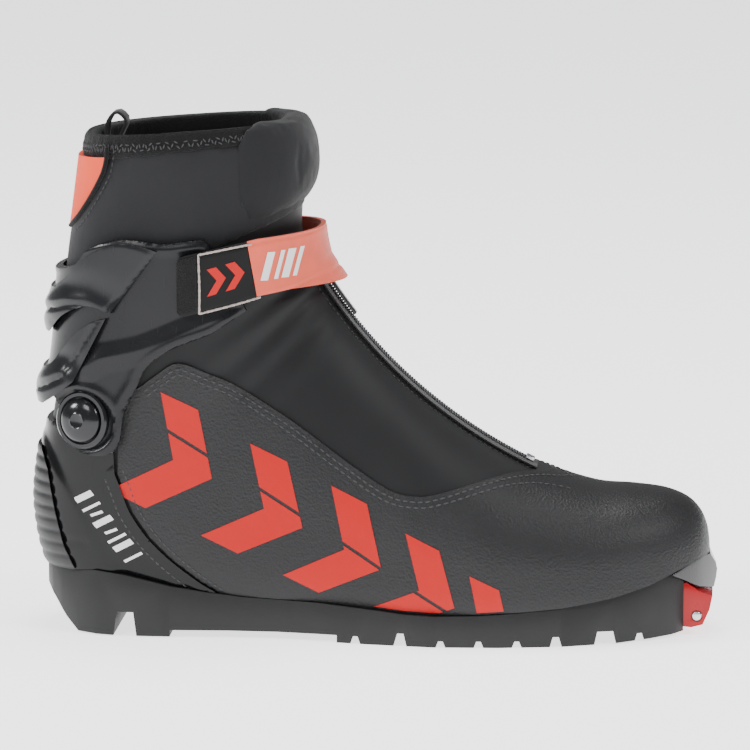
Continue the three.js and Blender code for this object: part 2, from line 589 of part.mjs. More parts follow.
add("zip_slider", sliderBody.subtract(coilSpace).add(sliderPlate), 0xb4b8bd);
const pullerTo = sliderFrom - shareOf(0.4);
const pullerFrom = pullerTo - shareOf(PULLER_LENGTH);
add("zip_puller", zipStrip(pullerFrom, pullerTo, sliderFar, sliderNear, SLIDER_WIDTH - 3, 4), 0x2a2b2e);

// ---------------------------------------------------------------- sole
const SOLE_EDGE = [
  [-131.6, 0], [-130.6, 7], [-128, 13.5], [-123.5, 19.5], [-117, 25], [-108.6, 30], [-96.7, 32.3],
  [-78.8, 32.6], [-56, 31.9], [-35.9, 32.9], [-19.3, 35.9], [1.4, 40.4], [26.3, 44.6], [52, 44.5],
  [77, 41.5], [97.5, 35.8], [111.7, 28.5], [121.6, 20.8], [128.8, 12.6], [132.6, 6], [133.8, 0],
];
function planOutline(grow) {
  const outer = SOLE_EDGE.map(([x, half], i) => {
    const ends = i === 0 ? -1 : i === SOLE_EDGE.length - 1 ? 1 : 0;
    return new THREE.Vector2(mapX(x) + ends * grow, -mapY(half) - (ends ? 0 : grow) + toeLean(mapX(x)));
  });
  const inner = SOLE_EDGE.slice(1, -1)
    .reverse()
    .map(([x, half]) => new THREE.Vector2(mapX(x), mapY(half) + grow + toeLean(mapX(x))));
  return [...outer, ...inner];
}
const soleSide = drawn([
  ...SEAT_LINE.slice(1, -1).reverse(), [-133, 25.4], [-133, 20], [-126.3, 12.1], [-121.5, 5.7],
  [-116.5, 0.8], [-101, 0.4], [-79, 0.4], [-79, 3], [-12, 3], [-12, 0], [74, 0], [98, 0.4], [120, 1.4],
  [127, 2.4], [129, 10.2], [133.6, 20.1], [134, 25],
]);
let sole = sidePrism(soleSide).intersect(planPrism(planOutline(0), -1, 40));
const TREAD_GAPS = [
  [-101, -93, 10], [11.4, 15.4, 5], [73, 76.6, 4], [90.4, 97.8, 5.4], [-6, -3, 3], [28, 31, 2.5], [43, 46, 2.5],
  [58, 61, 2.5], [106, 109, 3.6],
];
for (const [from, to, depth] of TREAD_GAPS) {
  sole = sole.subtract(
    sidePrism([
      at([from - 0.8, -1]), at([to + 0.8, -1]), at([to - 0.6, depth]), at([from + 0.6, depth]),
    ]),
  );
}
for (const side of [-1, 1]) {
  const middle = (side * RAIL_GROOVE_SPACING) / 2;
  sole = sole.subtract(
    sidePrism(
      drawn([[-4, -1], [118, -1], [118, RAIL_GROOVE_DEPTH], [-4, RAIL_GROOVE_DEPTH]]),
      middle - RAIL_GROOVE_WIDTH / 2,
      middle + RAIL_GROOVE_WIDTH / 2,
    ),
  );
}
const bumperOutline = drawn([
  [120, 26.2], [122, 27.2], [128.8, 30.5], [134.9, 31.8], [137.4, 27], [138, 24], [137.6, 20.7], [136.7, 17],
  [131, 19], [126, 22.6],
]);
const bumperGap = drawn([
  [119.2, 26.3], [121.4, 28.6], [140, 40], [145, 24], [140, 15.6], [130.8, 18], [125.4, 21.6],
]);
const bumper = sidePrism(bumperOutline).intersect(planPrism(planOutline(4.4), -1, 40));
add("toe_bumper", bumper.subtract(seatAbove(0.2)), 0xa9abad);
const holderHalf = HOLDER_WIDTH / 2;
const holderOutline = drawn([
  [118, 4.5], [127.8, 3.3], [132.4, 4.5], [135.1, 10.7], [136.2, 16.2], [130.7, 18.1], [126, 21.4], [118, 21.4],
]);
const holderGap = drawn([
  [117.6, -5], [145, -5], [145, 16], [136, 16.4], [130.8, 18.6], [126.1, 21.8], [117.6, 21.8],
]);
const barSpot = at(BAR_POINT);
const slotOutline = drawn([[124, -5], [145, -5], [145, 13], [124, 13]]);
const holder = sidePrism(holderOutline, -holderHalf, holderHalf)
  .subtract(sidePrism(slotOutline, -HOLDER_SLOT / 2, HOLDER_SLOT / 2))
  .subtract(crossCylinder(barSpot, BAR_RADIUS + CLEARANCE, -REACH / 2, REACH / 2, 24));
add("toe_bar_holder", holder, 0xcd141e);
add("toe_bar", crossCylinder(barSpot, BAR_RADIUS, -holderHalf - 0.3, holderHalf + 0.3, 24), 0xc4c8cc);
sole = sole
  .subtract(sidePrism(bumperGap))
  .subtract(sidePrism(holderGap, -holderHalf - CLEARANCE, holderHalf + CLEARANCE));
add("outsole", sole, 0x1c1d1f);

// ---------------------------------------------------------------- pull loop
const loopPath = new THREE.CatmullRomCurve3(
  [[-109.2, 186], [-108.4, 196], [-108, 202], [-104.4, 206.2], [-100.6, 203], [-103, 196.5], [-106.4, 190]].map(
    ([x, z]) => new THREE.Vector3(mapX(x) + LOOP_INSET, 6, mapZ(z)),
  ),
);
const ribbon = new THREE.Shape(
  [[-5.5, -0.6], [5.5, -0.6], [5.5, 0.6], [-5.5, 0.6]].map(([x, y]) => new THREE.Vector2(x, y)),
);
const loopGeometry = new THREE.ExtrudeGeometry(ribbon, { steps: 22, extrudePath: loopPath });
add("pull_loop", solid(loopGeometry), 0x2f3035);

// ---------------------------------------------------------------- the frame: middle of the footprint, on the ground
const box = new THREE.Box3();
const geometries = new Map();
for (const [name, { shape, colour }] of made) {
  const mesh = shape.getMesh();
  const geometry = new THREE.BufferGeometry();
  const positions = new Float32Array(mesh.numVert * 3);
  for (let i = 0; i < mesh.numVert; i += 1) {
    positions.set(mesh.vertProperties.subarray(i * mesh.numProp, i * mesh.numProp + 3), i * 3);
  }
  geometry.setAttribute("position", new THREE.BufferAttribute(positions, 3));
  geometry.setIndex(new THREE.BufferAttribute(new Uint32Array(mesh.triVerts), 1));
  geometry.computeBoundingBox();
  box.union(geometry.boundingBox);
  geometries.set(name, { geometry, colour });
}
const centre = box.getCenter(new THREE.Vector3());
for (const [name, { geometry, colour }] of geometries) {
  geometry.translate(-centre.x, -centre.y, -box.min.z);
  geometry.computeVertexNormals();
  const material = new THREE.MeshStandardMaterial({ color: colour, roughness: 0.6 });
  const mesh = new THREE.Mesh(geometry, material);
  mesh.name = name;
  group.add(mesh);
}

export default group;
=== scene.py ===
"""Cross country ski boot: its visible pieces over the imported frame, in metres, +X to the toe, +Z up."""

import logging
import math
from dataclasses import dataclass, field
from enum import Enum
from typing import Callable, Optional, Sequence, Union

import bmesh
import bpy
import numpy as np
from mathutils import Matrix, Vector


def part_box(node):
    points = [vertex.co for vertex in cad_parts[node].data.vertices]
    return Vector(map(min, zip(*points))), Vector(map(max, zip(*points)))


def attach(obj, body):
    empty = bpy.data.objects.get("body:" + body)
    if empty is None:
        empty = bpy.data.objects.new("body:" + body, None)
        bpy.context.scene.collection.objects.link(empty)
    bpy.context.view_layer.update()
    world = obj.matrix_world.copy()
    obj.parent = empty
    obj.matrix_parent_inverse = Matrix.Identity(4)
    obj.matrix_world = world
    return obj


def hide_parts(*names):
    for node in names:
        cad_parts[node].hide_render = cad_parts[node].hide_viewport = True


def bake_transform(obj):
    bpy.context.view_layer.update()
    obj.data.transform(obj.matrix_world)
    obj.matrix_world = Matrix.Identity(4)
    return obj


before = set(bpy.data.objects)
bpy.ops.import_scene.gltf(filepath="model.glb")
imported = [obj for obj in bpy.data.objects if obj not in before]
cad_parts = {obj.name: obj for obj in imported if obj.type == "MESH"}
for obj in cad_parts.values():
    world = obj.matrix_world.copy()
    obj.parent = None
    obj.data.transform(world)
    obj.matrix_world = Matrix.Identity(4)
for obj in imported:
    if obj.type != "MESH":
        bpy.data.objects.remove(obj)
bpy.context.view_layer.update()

LOG = logging.getLogger("ski_boot")
MM = 0.001
WELD = 0.02 * MM
CHART_ROUND = 36.0
CHART_ALONG = 14.0
TUBE_SIDES = 10
CLOTH_FRAMES = 20

Socket = bpy.types.NodeSocket
Pair = tuple[float, float]
Away = Union[float, Callable[[np.ndarray, np.ndarray, np.ndarray], np.ndarray]]


class Side(Enum):
    """The side of the boot a detail is on: the outer side has negative Y."""

    OUTER = -1
    INNER = 1


class Body(Enum):
    """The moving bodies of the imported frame."""

    FOOT = "foot"
    CUFF = "cuff"
    STRAP_TAB = "strap_tab"
    SLIDER = "slider"


# ------------------------------------------------------------------ shader building


class NodeSketch:
    """A material with its node tree and short calls for the nodes the finishes share."""

    def __init__(self, name: str) -> None:
        """Starts an empty principled material.

        Args:
            name: the material's name.
        """
        self.material = bpy.data.materials.new(name)
        self.material.use_nodes = True
        self.tree = self.material.node_tree
        self.shader = self.tree.nodes["Principled BSDF"]
        self._place: Optional[Socket] = None

    def node(self, kind: str, **settings: object) -> bpy.types.Node:
        """Adds a node.

        Args:
            kind: the node's type name.
            settings: properties to set on it.

        Returns:
            The new node.
        """
        made = self.tree.nodes.new(kind)
        for key, value in settings.items():
            setattr(made, key, value)
        return made

    def join(self, source: object, target: Socket) -> None:
        """Links a socket to an input, or writes a plain value into it.

        Args:
            source: a socket, a number or a colour.
            target: the input.
        """
        if isinstance(source, Socket):
            self.tree.links.new(source, target)
        else:
            target.default_value = source

    def place(self) -> Socket:
        """The object coordinates, in metres."""
        if self._place is None:
            self._place = self.node("ShaderNodeTexCoord").outputs["Object"]
        return self._place

    def chart(self) -> Socket:
        """The piece's own surface map, in millimetres along and across it."""
        return self.node("ShaderNodeUVMap", uv_map="UVMap").outputs["UV"]

    def mapped(self, coords: Socket, scale: Sequence[float], turn: float = 0.0) -> Socket:
        """Scales and turns coordinates.

        Args:
            coords: the coordinates.
            scale: the scale along each axis.
            turn: a turn about Z, in radians.

        Returns:
            The mapped coordinates.
        """
        mapping = self.node("ShaderNodeMapping")
        self.join(coords, mapping.inputs["Vector"])
        mapping.inputs["Scale"].default_value = scale
        mapping.inputs["Rotation"].default_value = (0.0, 0.0, turn)
        return mapping.outputs["Vector"]

    def noise(self, scale: float, detail: float = 3.0, rough: float = 0.55,
              coords: Optional[Socket] = None) -> Socket:
        """A noise pattern.

        Args:
            scale: features per unit of the coordinates.
            detail: octaves.
            rough: how strong the fine octaves are.
            coords: the coordinates, object coordinates if left out.

        Returns:
            The pattern's value.
        """
        made = self.node("ShaderNodeTexNoise")
        self.join(coords or self.place(), made.inputs["Vector"])
        made.inputs["Scale"].default_value = scale
        made.inputs["Detail"].default_value = detail
        made.inputs["Roughness"].default_value = rough
        return made.outputs["Fac"]

    def cells(self, scale: float, feature: str = "F1") -> Socket:
        """The distance in a pattern of cells over the object coordinates.

        Args:
            scale: cells per unit.
            feature: which distance is read.

        Returns:
            The distance.
        """
        made = self.node("ShaderNodeTexVoronoi", feature=feature)
        self.join(self.place(), made.inputs["Vector"])
        made.inputs["Scale"].default_value = scale
        return made.outputs["Distance"]

    def wave(self, coords: Socket, scale: float, direction: str = "X",
             wobble: float = 0.0) -> Socket:
        """Parallel bands.

        Args:
            coords: the coordinates.
            scale: how close the bands lie.
            direction: the axis they cross.
            wobble: their distortion.

        Returns:
            The bands' value.
        """
        made = self.node("ShaderNodeTexWave", bands_direction=direction)
        self.join(coords, made.inputs["Vector"])
        made.inputs["Scale"].default_value = scale
        made.inputs["Distortion"].default_value = wobble
        return made.outputs["Fac"]

    def maths(self, operation: str, first: object, second: object) -> Socket:
        """One step of arithmetic.

        Args:
            operation: the operation's name.
            first: a socket or number.
            second: a socket or number.

        Returns:
            The result.
        """
        made = self.node("ShaderNodeMath", operation=operation)
        self.join(first, made.inputs[0])
        self.join(second, made.inputs[1])
        return made.outputs[0]

    def lifted(self, pattern: object, share: float, base: object) -> Socket:
        """A base raised by a share of a pattern."""
        return self.maths("ADD", self.maths("MULTIPLY", pattern, share), base)

    def ramp(self, value: object, stops: Sequence[tuple[float, float]]) -> Socket:
        """A grey ramp through stops.

        Args:
            value: the input.
            stops: pairs of position and grey.

        Returns:
            The ramp's value.
        """
        made = self.node("ShaderNodeValToRGB")
        elements = made.color_ramp.elements
        while len(elements) < len(stops):
            elements.new(0.5)
        for element, (where, grey) in zip(elements, stops):
            element.position = where
            element.color = (grey, grey, grey, 1.0)
        self.join(value, made.inputs["Fac"])
        return made.outputs["Color"]

    def mix(self, share: object, low: object, high: object) -> Socket:
        """Mixes two colours.

        Args:
            share: how much of the second.
            low: the first colour.
            high: the second colour.

        Returns:
            The mixed colour.
        """
        made = self.node("ShaderNodeMix", data_type="RGBA")
        self.join(share, made.inputs[0])
        self.join(low, made.inputs[6])
        self.join(high, made.inputs[7])
        return made.outputs[2]

    def bump(self, height: object, depth: float, under: Optional[Socket] = None,
             strength: float = 1.0) -> Socket:
        """Turns a height into a normal.

        Args:
            height: the height pattern, 0 to 1.
            depth: its depth in metres.
            under: a normal to build on.
            strength: the bump's strength.

        Returns:
            The normal.
        """
        made = self.node("ShaderNodeBump")
        made.inputs["Strength"].default_value = strength
        made.inputs["Distance"].default_value = depth
        self.join(height, made.inputs["Height"])
        if under is not None:
            self.join(under, made.inputs["Normal"])
        return made.outputs["Normal"]

    def finish(self, colour: object, rough: object, normal: Optional[Socket] = None) -> bpy.types.Material:
        """Connects the shader.

        Args:
            colour: the base colour.
            rough: the roughness.
            normal: the surface normal.

        Returns:
            The finished material.
        """
        self.join(colour, self.shader.inputs["Base Color"])
        self.join(rough, self.shader.inputs["Roughness"])
        if normal is not None:
            self.join(normal, self.shader.inputs["Normal"])
        return self.material


def rgba(colour: Sequence[float], factor: float = 1.0) -> tuple[float, float, float, float]:
    """A colour with its alpha, made lighter or darker by a factor."""
    return (colour[0] * factor, colour[1] * factor, colour[2] * factor, 1.0)


@dataclass(frozen=True)
class Finish:
    """What every finish has: a name, a colour and a roughness."""

    name: str
    colour: tuple[float, float, float]
    rough: float = 0.5

    def material(self) -> bpy.types.Material:
        """The material, made once and then shared."""
        name = f"finish_{self.name}"
        found = bpy.data.materials.get(name)
        return found if found else self.paint(NodeSketch(name))

    def paint(self, sketch: NodeSketch) -> bpy.types.Material:
        """Builds the nodes.

        Args:
            sketch: the empty material.

        Returns:
            The finished material.
        """
        raise NotImplementedError

    def mottled(self, sketch: NodeSketch, spread: float, scale: float = 60.0) -> Socket:
        """The colour with a soft, uneven lightness.

        Args:
            sketch: the material.
            spread: how far the lightness varies.
            scale: patches per metre.

        Returns:
            The colour.
        """
        patches = sketch.noise(scale, 4.0, 0.6)
        return sketch.mix(patches, rgba(self.colour, 1 - spread), rgba(self.colour, 1 + spread))


@dataclass(frozen=True)
class GrainedLeather(Finish):
    """Synthetic leather with a fine pebbled grain and creases."""

    grain: float = 1150.0
    depth: float = 0.00026

    def paint(self, sketch: NodeSketch) -> bpy.types.Material:
        """Builds the grain, a few soft creases and a scuffed lightness."""
        pebble = sketch.cells(self.grain, feature="SMOOTH_F1")
        fine = sketch.noise(4200.0, 2.0)
        height = sketch.lifted(pebble, 0.9, sketch.maths("MULTIPLY", fine, 0.25))
        crease = sketch.noise(38.0, 2.0, 0.4)
        soft = sketch.bump(crease, 0.0008, strength=0.35)
        normal = sketch.bump(height, self.depth, soft, 0.85)
        patches = sketch.noise(45.0, 5.0, 0.62)
        speck = sketch.ramp(fine, [(0.35, 0.0), (0.75, 1.0)])
        base = sketch.mix(patches, rgba(self.colour, 0.82), rgba(self.colour, 1.2))
        colour = sketch.mix(sketch.maths("MULTIPLY", speck, 0.22), base, rgba(self.colour, 1.9))
        rough = sketch.lifted(patches, 0.16, self.rough - 0.08)
        sketch.shader.inputs["Specular IOR Level"].default_value = 0.26
        return sketch.finish(colour, rough, normal)


@dataclass(frozen=True)
class StretchShell(Finish):
    """Smooth softshell cloth: a very fine twill with a soft sheen."""

    sheen: float = 0.08

    def paint(self, sketch: NodeSketch) -> bpy.types.Material:
        """Builds the twill, gentle folds and the sheen."""
        chart = sketch.chart()
        twill = sketch.wave(sketch.mapped(chart, (1.0, 1.0, 1.0), 0.78), 0.62, "X", 0.4)
        rib = sketch.wave(sketch.mapped(chart, (1.0, 1.0, 1.0), -0.5), 0.5, "X", 0.3)
        weave = sketch.maths("MULTIPLY", twill, rib)
        folds = sketch.noise(26.0, 2.0, 0.45)
        soft = sketch.bump(folds, 0.0016, strength=0.4)
        normal = sketch.bump(weave, 0.00012, soft, 0.7)
        patches = sketch.noise(70.0, 5.0, 0.6)
        base = sketch.mix(patches, rgba(self.colour, 0.85), rgba(self.colour, 1.18))
        colour = sketch.mix(sketch.maths("MULTIPLY", weave, 0.25), base, rgba(self.colour, 1.6))
        rough = sketch.lifted(patches, 0.12, self.rough)
        sketch.shader.inputs["Sheen Weight"].default_value = self.sheen
        sketch.shader.inputs["Sheen Roughness"].default_value = 0.45
        sketch.shader.inputs["Specular IOR Level"].default_value = 0.26
        return sketch.finish(colour, rough, normal)


@dataclass(frozen=True)
class KnitFoam(Finish):
    """Knit-faced foam: wales and courses of small loops over a soft body."""

    pitch: float = 1.1
    sheen: float = 0.35

    def paint(self, sketch: NodeSketch) -> bpy.types.Material:
        """Builds the knit from two crossed bands, with soft hollows painted darker as shade and their swells
        lighter.
        """
        chart = sketch.chart()
        band = 0.318 / self.pitch
        wales = sketch.wave(chart, band, "X", 0.6)
        courses = sketch.wave(sketch.mapped(chart, (1.0, 1.25, 1.0)), band, "Y", 0.9)
        loops = sketch.maths("MULTIPLY", wales, courses)
        dents_and_painted_shade = sketch.noise(34.0, 3.0, 0.5)
        fluff = sketch.noise(3600.0, 2.0)
        soft = sketch.bump(dents_and_painted_shade, 0.0014, strength=0.45)
        height = sketch.maths("ADD", loops, sketch.maths("MULTIPLY", fluff, 0.5))
        normal = sketch.bump(height, 0.00032, soft, 0.75)
        # Painted shade: the colour is darker in the hollows of the soft bump and lighter on its swells.
        base = sketch.mix(dents_and_painted_shade, rgba(self.colour, 0.82), rgba(self.colour, 1.2))
        colour = sketch.mix(sketch.maths("MULTIPLY", loops, 0.6), base, rgba(self.colour, 1.8))
        sketch.shader.inputs["Sheen Weight"].default_value = self.sheen
        sketch.shader.inputs["Sheen Roughness"].default_value = 0.5
        sketch.shader.inputs["Specular IOR Level"].default_value = 0.25
        return sketch.finish(colour, self.rough, normal)


@dataclass(frozen=True)
class Webbing(Finish):
    """Woven webbing: thick ribs along it, crossed by fine picks."""

    pitch: float = 1.3
    turn: float = 0.0

    def paint(self, sketch: NodeSketch) -> bpy.types.Material:
        """Builds the ribs and picks and a yarn-by-yarn colour."""
        chart = sketch.mapped(sketch.chart(), (1.0, 1.0, 1.0), self.turn)
        band = 0.318 / self.pitch
        ribs = sketch.wave(chart, band, "Y", 0.2)
        picks = sketch.wave(chart, band * 1.7, "X", 0.5)
        weave = sketch.lifted(ribs, 0.7, sketch.maths("MULTIPLY", picks, 0.3))
        yarn = sketch.noise(900.0, 3.0, 0.65)
        height = sketch.maths("ADD", weave, sketch.maths("MULTIPLY", yarn, 0.4))
        normal = sketch.bump(height, 0.00045, strength=0.8)
        patches = sketch.noise(120.0, 3.0)
        base = sketch.mix(patches, rgba(self.colour, 0.72), rgba(self.colour, 0.95))
        colour = sketch.mix(sketch.maths("MULTIPLY", weave, 0.7), base, rgba(self.colour, 1.22))
        sketch.shader.inputs["Sheen Weight"].default_value = 0.25
        sketch.shader.inputs["Sheen Roughness"].default_value = 0.4
        return sketch.finish(colour, self.rough, normal)


@dataclass(frozen=True)
class FuzzyPile(Finish):
    """A short, fuzzy pile, as on binding tape and hook-and-loop."""

    pile: float = 1400.0
    depth: float = 0.0005
    # How much lighter the painted sheen makes the ends of the fibres.
    painted_tip_sheen: float = 1.8
    sheen: float = 0.2

    def paint(self, sketch: NodeSketch) -> bpy.types.Material:
        """Builds a rough pile with the ends of its fibres painted lighter as sheen."""
        tufts = sketch.cells(self.pile)
        fluff = sketch.noise(2600.0, 4.0, 0.7)
        height = sketch.maths("ADD", tufts, fluff)
        normal = sketch.bump(height, self.depth, strength=0.75)
        # Painted sheen: the highest fibres of the fluff are lightened in the colour.
        painted_tip_sheen = sketch.ramp(fluff, [(0.45, 0.0), (0.8, 1.0)])
        colour = sketch.mix(painted_tip_sheen, self.mottled(sketch, 0.2, 200.0), rgba(self.colour, self.painted_tip_sheen))
        sketch.shader.inputs["Sheen Weight"].default_value = self.sheen
        sketch.shader.inputs["Sheen Roughness"].default_value = 0.55
        sketch.shader.inputs["Specular IOR Level"].default_value = 0.15
        return sketch.finish(colour, self.rough, normal)


@dataclass(frozen=True)
class MouldedPlastic(Finish):
    """Moulded plastic with a spark-eroded skin, hairline scratches and a cloudy gloss."""

    skin: float = 0.00003
    coat: float = 0.0
    shine: float = 0.3

    def paint(self, sketch: NodeSketch) -> bpy.types.Material:
        """Builds the eroded skin, long scratches and a cloudy gloss."""
        eroded = sketch.noise(2600.0, 3.0, 0.6)
        scratch_place = sketch.mapped(sketch.place(), (900.0, 900.0, 60.0))
        scratches = sketch.ramp(sketch.noise(1.0, 2.0, 0.5, scratch_place), [(0.68, 0.0), (0.74, 1.0)])
        cloud = sketch.noise(55.0, 4.0, 0.6)
        normal = sketch.bump(eroded, self.skin, strength=0.6)
        base = self.mottled(sketch, 0.1, 40.0)
        colour = sketch.mix(sketch.maths("MULTIPLY", scratches, 0.12), base, rgba(self.colour, 2.0))
        wear = sketch.lifted(cloud, 0.14, sketch.maths("MULTIPLY", scratches, 0.12))
        rough = sketch.maths("ADD", wear, self.rough - 0.07)
        sketch.shader.inputs["Specular IOR Level"].default_value = self.shine
        sketch.shader.inputs["Coat Weight"].default_value = self.coat
        sketch.shader.inputs["Coat Roughness"].default_value = 0.08
        return sketch.finish(colour, rough, normal)


@dataclass(frozen=True)
class TreadRubber(Finish):
    """Matte moulded rubber, painted lighter grey on its raised swells and darker in its low places as shade.
    """

    def paint(self, sketch: NodeSketch) -> bpy.types.Material:
        """Builds a fine pitted skin with painted grey light on its raised swells."""
        pits = sketch.noise(1900.0, 4.0, 0.7)
        flow = sketch.noise(90.0, 4.0, 0.6)
        normal = sketch.bump(pits, 0.00007, sketch.bump(flow, 0.0003, strength=0.3), 0.6)
        # Painted light and shade: the grey lightening follows the broad bump, on its raised swells, leaving
        # the low places darker.
        painted_swell_light = sketch.ramp(flow, [(0.42, 0.0), (0.78, 1.0)])
        painted_swell_light_share = sketch.maths("MULTIPLY", painted_swell_light, 0.3)
        colour = sketch.mix(painted_swell_light_share, self.mottled(sketch, 0.15), rgba(self.colour, 2.0))
        rough = sketch.lifted(flow, 0.2, self.rough - 0.1)
        sketch.shader.inputs["Specular IOR Level"].default_value = 0.36
        return sketch.finish(colour, rough, normal)


@dataclass(frozen=True)
class BrushedMetal(Finish):
    """Steel with fine brush lines across it."""

    def paint(self, sketch: NodeSketch) -> bpy.types.Material:
        """Builds stretched brush lines."""
        lines = sketch.noise(1.0, 3.0, 0.6, sketch.mapped(sketch.place(), (300.0, 4000.0, 4000.0)))
        normal = sketch.bump(lines, 0.00003, strength=0.4)
        colour = sketch.mix(lines, rgba(self.colour, 0.85), rgba(self.colour, 1.1))
        rough = sketch.lifted(lines, 0.16, self.rough - 0.06)
        sketch.shader.inputs["Metallic"].default_value = 1.0
        return sketch.finish(colour, rough, normal)


@dataclass(frozen=True)
class Ink(Finish):
    """A printed or welded film: an even colour with a slight ripple and a satin gloss."""

    shine: float = 0.4

    def paint(self, sketch: NodeSketch) -> bpy.types.Material:
        """Builds the film over the grain below it."""
        grain = sketch.cells(1500.0, feature="SMOOTH_F1")
        ripple = sketch.noise(140.0, 3.0)
        normal = sketch.bump(grain, 0.00005, sketch.bump(ripple, 0.0002, strength=0.3), 0.4)
        colour = self.mottled(sketch, 0.05, 80.0)
        rough = sketch.lifted(ripple, 0.15, self.rough - 0.05)
        sketch.shader.inputs["Specular IOR Level"].default_value = self.shine
        return sketch.finish(colour, rough, normal)


@dataclass(frozen=True)
class Thread(Finish):
    """Twisted sewing thread."""

    def paint(self, sketch: NodeSketch) -> bpy.types.Material:
        """Builds the twist."""
        twist = sketch.noise(3000.0, 2.0)
        normal = sketch.bump(twist, 0.00006, strength=0.6)
        colour = sketch.mix(twist, rgba(self.colour, 0.7), rgba(self.colour, 1.3))
        sketch.shader.inputs["Sheen Weight"].default_value = 0.2
        return sketch.finish(colour, self.rough, normal)


VAMP_LEATHER = GrainedLeather("vamp_leather", (0.0155, 0.0155, 0.0165), 0.45)
SOFTSHELL = StretchShell("softshell_cloth", (0.0062, 0.0064, 0.0072), 0.5)
COLLAR_KNIT = KnitFoam("collar_knit", (0.012, 0.0122, 0.0138), 0.85, 0.9, 0.14)
TONGUE_KNIT = KnitFoam("tongue_knit", (0.009, 0.0092, 0.0104), 0.85, 0.9, 0.12)
LINING_KNIT = KnitFoam("lining_knit", (0.01, 0.01, 0.011), 0.92, 1.3, 0.1)
BED_FELT = KnitFoam("footbed_felt", (0.05, 0.052, 0.056), 0.95, 1.6)
BINDING_PILE = FuzzyPile("binding_pile", (0.0045, 0.0045, 0.005), 0.95, 1400.0, 0.0004, 1.7, 0.1)
HOOK_PILE = FuzzyPile("hook_pile", (0.0042, 0.0042, 0.0046), 0.9, 2000.0, 0.0006, 2.4, 0.12)
FRAYED_EDGE = FuzzyPile("frayed_edge", (0.4, 0.33, 0.31), 0.9, 2400.0, 0.0005, 1.5, 0.3)
LOOP_WEBBING = Webbing("loop_webbing", (0.009, 0.009, 0.01), 0.8, 1.6)
CORAL_PANEL = KnitFoam("coral_panel_knit", (0.8, 0.075, 0.025), 0.75, 0.8, 0.05)
CORAL_WEBBING = Webbing("coral_webbing", (0.78, 0.105, 0.052), 0.7, 1.4)
TAB_COATING = Ink("tab_coating", (0.0045, 0.0045, 0.005), 0.5, 0.18)
TAPE_WEAVE = Webbing("zip_tape_weave", (0.005, 0.005, 0.006), 0.85, 1.0)
CUFF_PLASTIC = MouldedPlastic("cuff_plastic", (0.0068, 0.007, 0.0082), 0.26, shine=0.26)
WING_PLASTIC = MouldedPlastic("wing_plastic", (0.009, 0.0093, 0.0108), 0.24, shine=0.3)
COUNTER_PLASTIC = MouldedPlastic("counter_plastic", (0.0042, 0.0043, 0.0048), 0.18, coat=0.05, shine=0.22)
CAP_PLASTIC = MouldedPlastic("cap_plastic", (0.008, 0.0083, 0.0098), 0.16, coat=0.2, shine=0.3)
COIL_PLASTIC = MouldedPlastic("zip_coil_plastic", (0.07, 0.072, 0.078), 0.28)
BUMPER_PLASTIC = MouldedPlastic("bumper_plastic", (0.026, 0.026, 0.028), 0.18, coat=0.3)
RED_PLASTIC = MouldedPlastic("red_plastic", (0.36, 0.0006, 0.004), 0.28, coat=0.1)
BOARD_FIBRE = MouldedPlastic("board_fibre", (0.3, 0.26, 0.19), 0.8)
GUARD_RUBBER = TreadRubber("guard_rubber", (0.011, 0.011, 0.012), 0.45)
SOLE_RUBBER = TreadRubber("sole_rubber", (0.0075, 0.0075, 0.008), 0.5)
STEEL = BrushedMetal("bright_steel", (0.62, 0.62, 0.64), 0.24)
RED_INK = Ink("red_ink", (0.46, 0.0022, 0.0004), 0.5, 0.3)
WHITE_INK = Ink("white_ink", (0.7, 0.7, 0.7), 0.45, 0.4)
BLACK_THREAD = Thread("black_thread", (0.008, 0.008, 0.009), 0.7)
GREY_THREAD = Thread("grey_thread", (0.022, 0.022, 0.024), 0.65)


# ------------------------------------------------------------------ the boot's skin


@dataclass(frozen=True)
class Section:
    """One section of the boot: a rounded loop from a front point to a back point, in millimetres."""

    front: Pair
    back: Pair
    half: float
    wide: float
    top: float
    low: float


@dataclass(frozen=True)
class ZipArc:
    """The arc that the zip runs on, from its low end to its high end."""

    low: Pair = (66.0, 66.5)
    high: Pair = (-25.0, 149.5)
    sag: float = 9.5

    @property
    def radius(self) -> float:
        """The arc's radius."""
        chord = math.dist(self.low, self.high)
        return chord * chord / (8 * self.sag) + self.sag / 2

    @property
    def centre(self) -> Pair:
        """The arc's centre, above the instep."""
        chord = math.dist(self.low, self.high)
        across = ((self.low[1] - self.high[1]) / chord, (self.high[0] - self.low[0]) / chord)
        reach = self.sag - self.radius
        return (
            (self.low[0] + self.high[0]) / 2 + across[0] * reach,
            (self.low[1] + self.high[1]) / 2 + across[1] * reach,
        )

    def at(self, share: float, radius: float) -> Pair:
        """A point of a parallel arc.

        Args:
            share: 0 at the low end, 1 at the high end.
            radius: the distance from the centre.

        Returns:
            The point's X and Z.
        """
        cx, cz = self.centre
        start = math.atan2(self.low[1] - cz, self.low[0] - cx)
        end = math.atan2(self.high[1] - cz, self.high[0] - cx)
        angle = start + (end - start) * share
        return (cx + radius * math.cos(angle), cz + radius * math.sin(angle))


ZIP = ZipArc()
CREST = ZIP.radius + 1.5


def on_zip(share: float) -> Pair:
    """The skin's front point under the zip, at a share of the zip's length."""
    return ZIP.at(share, CREST)


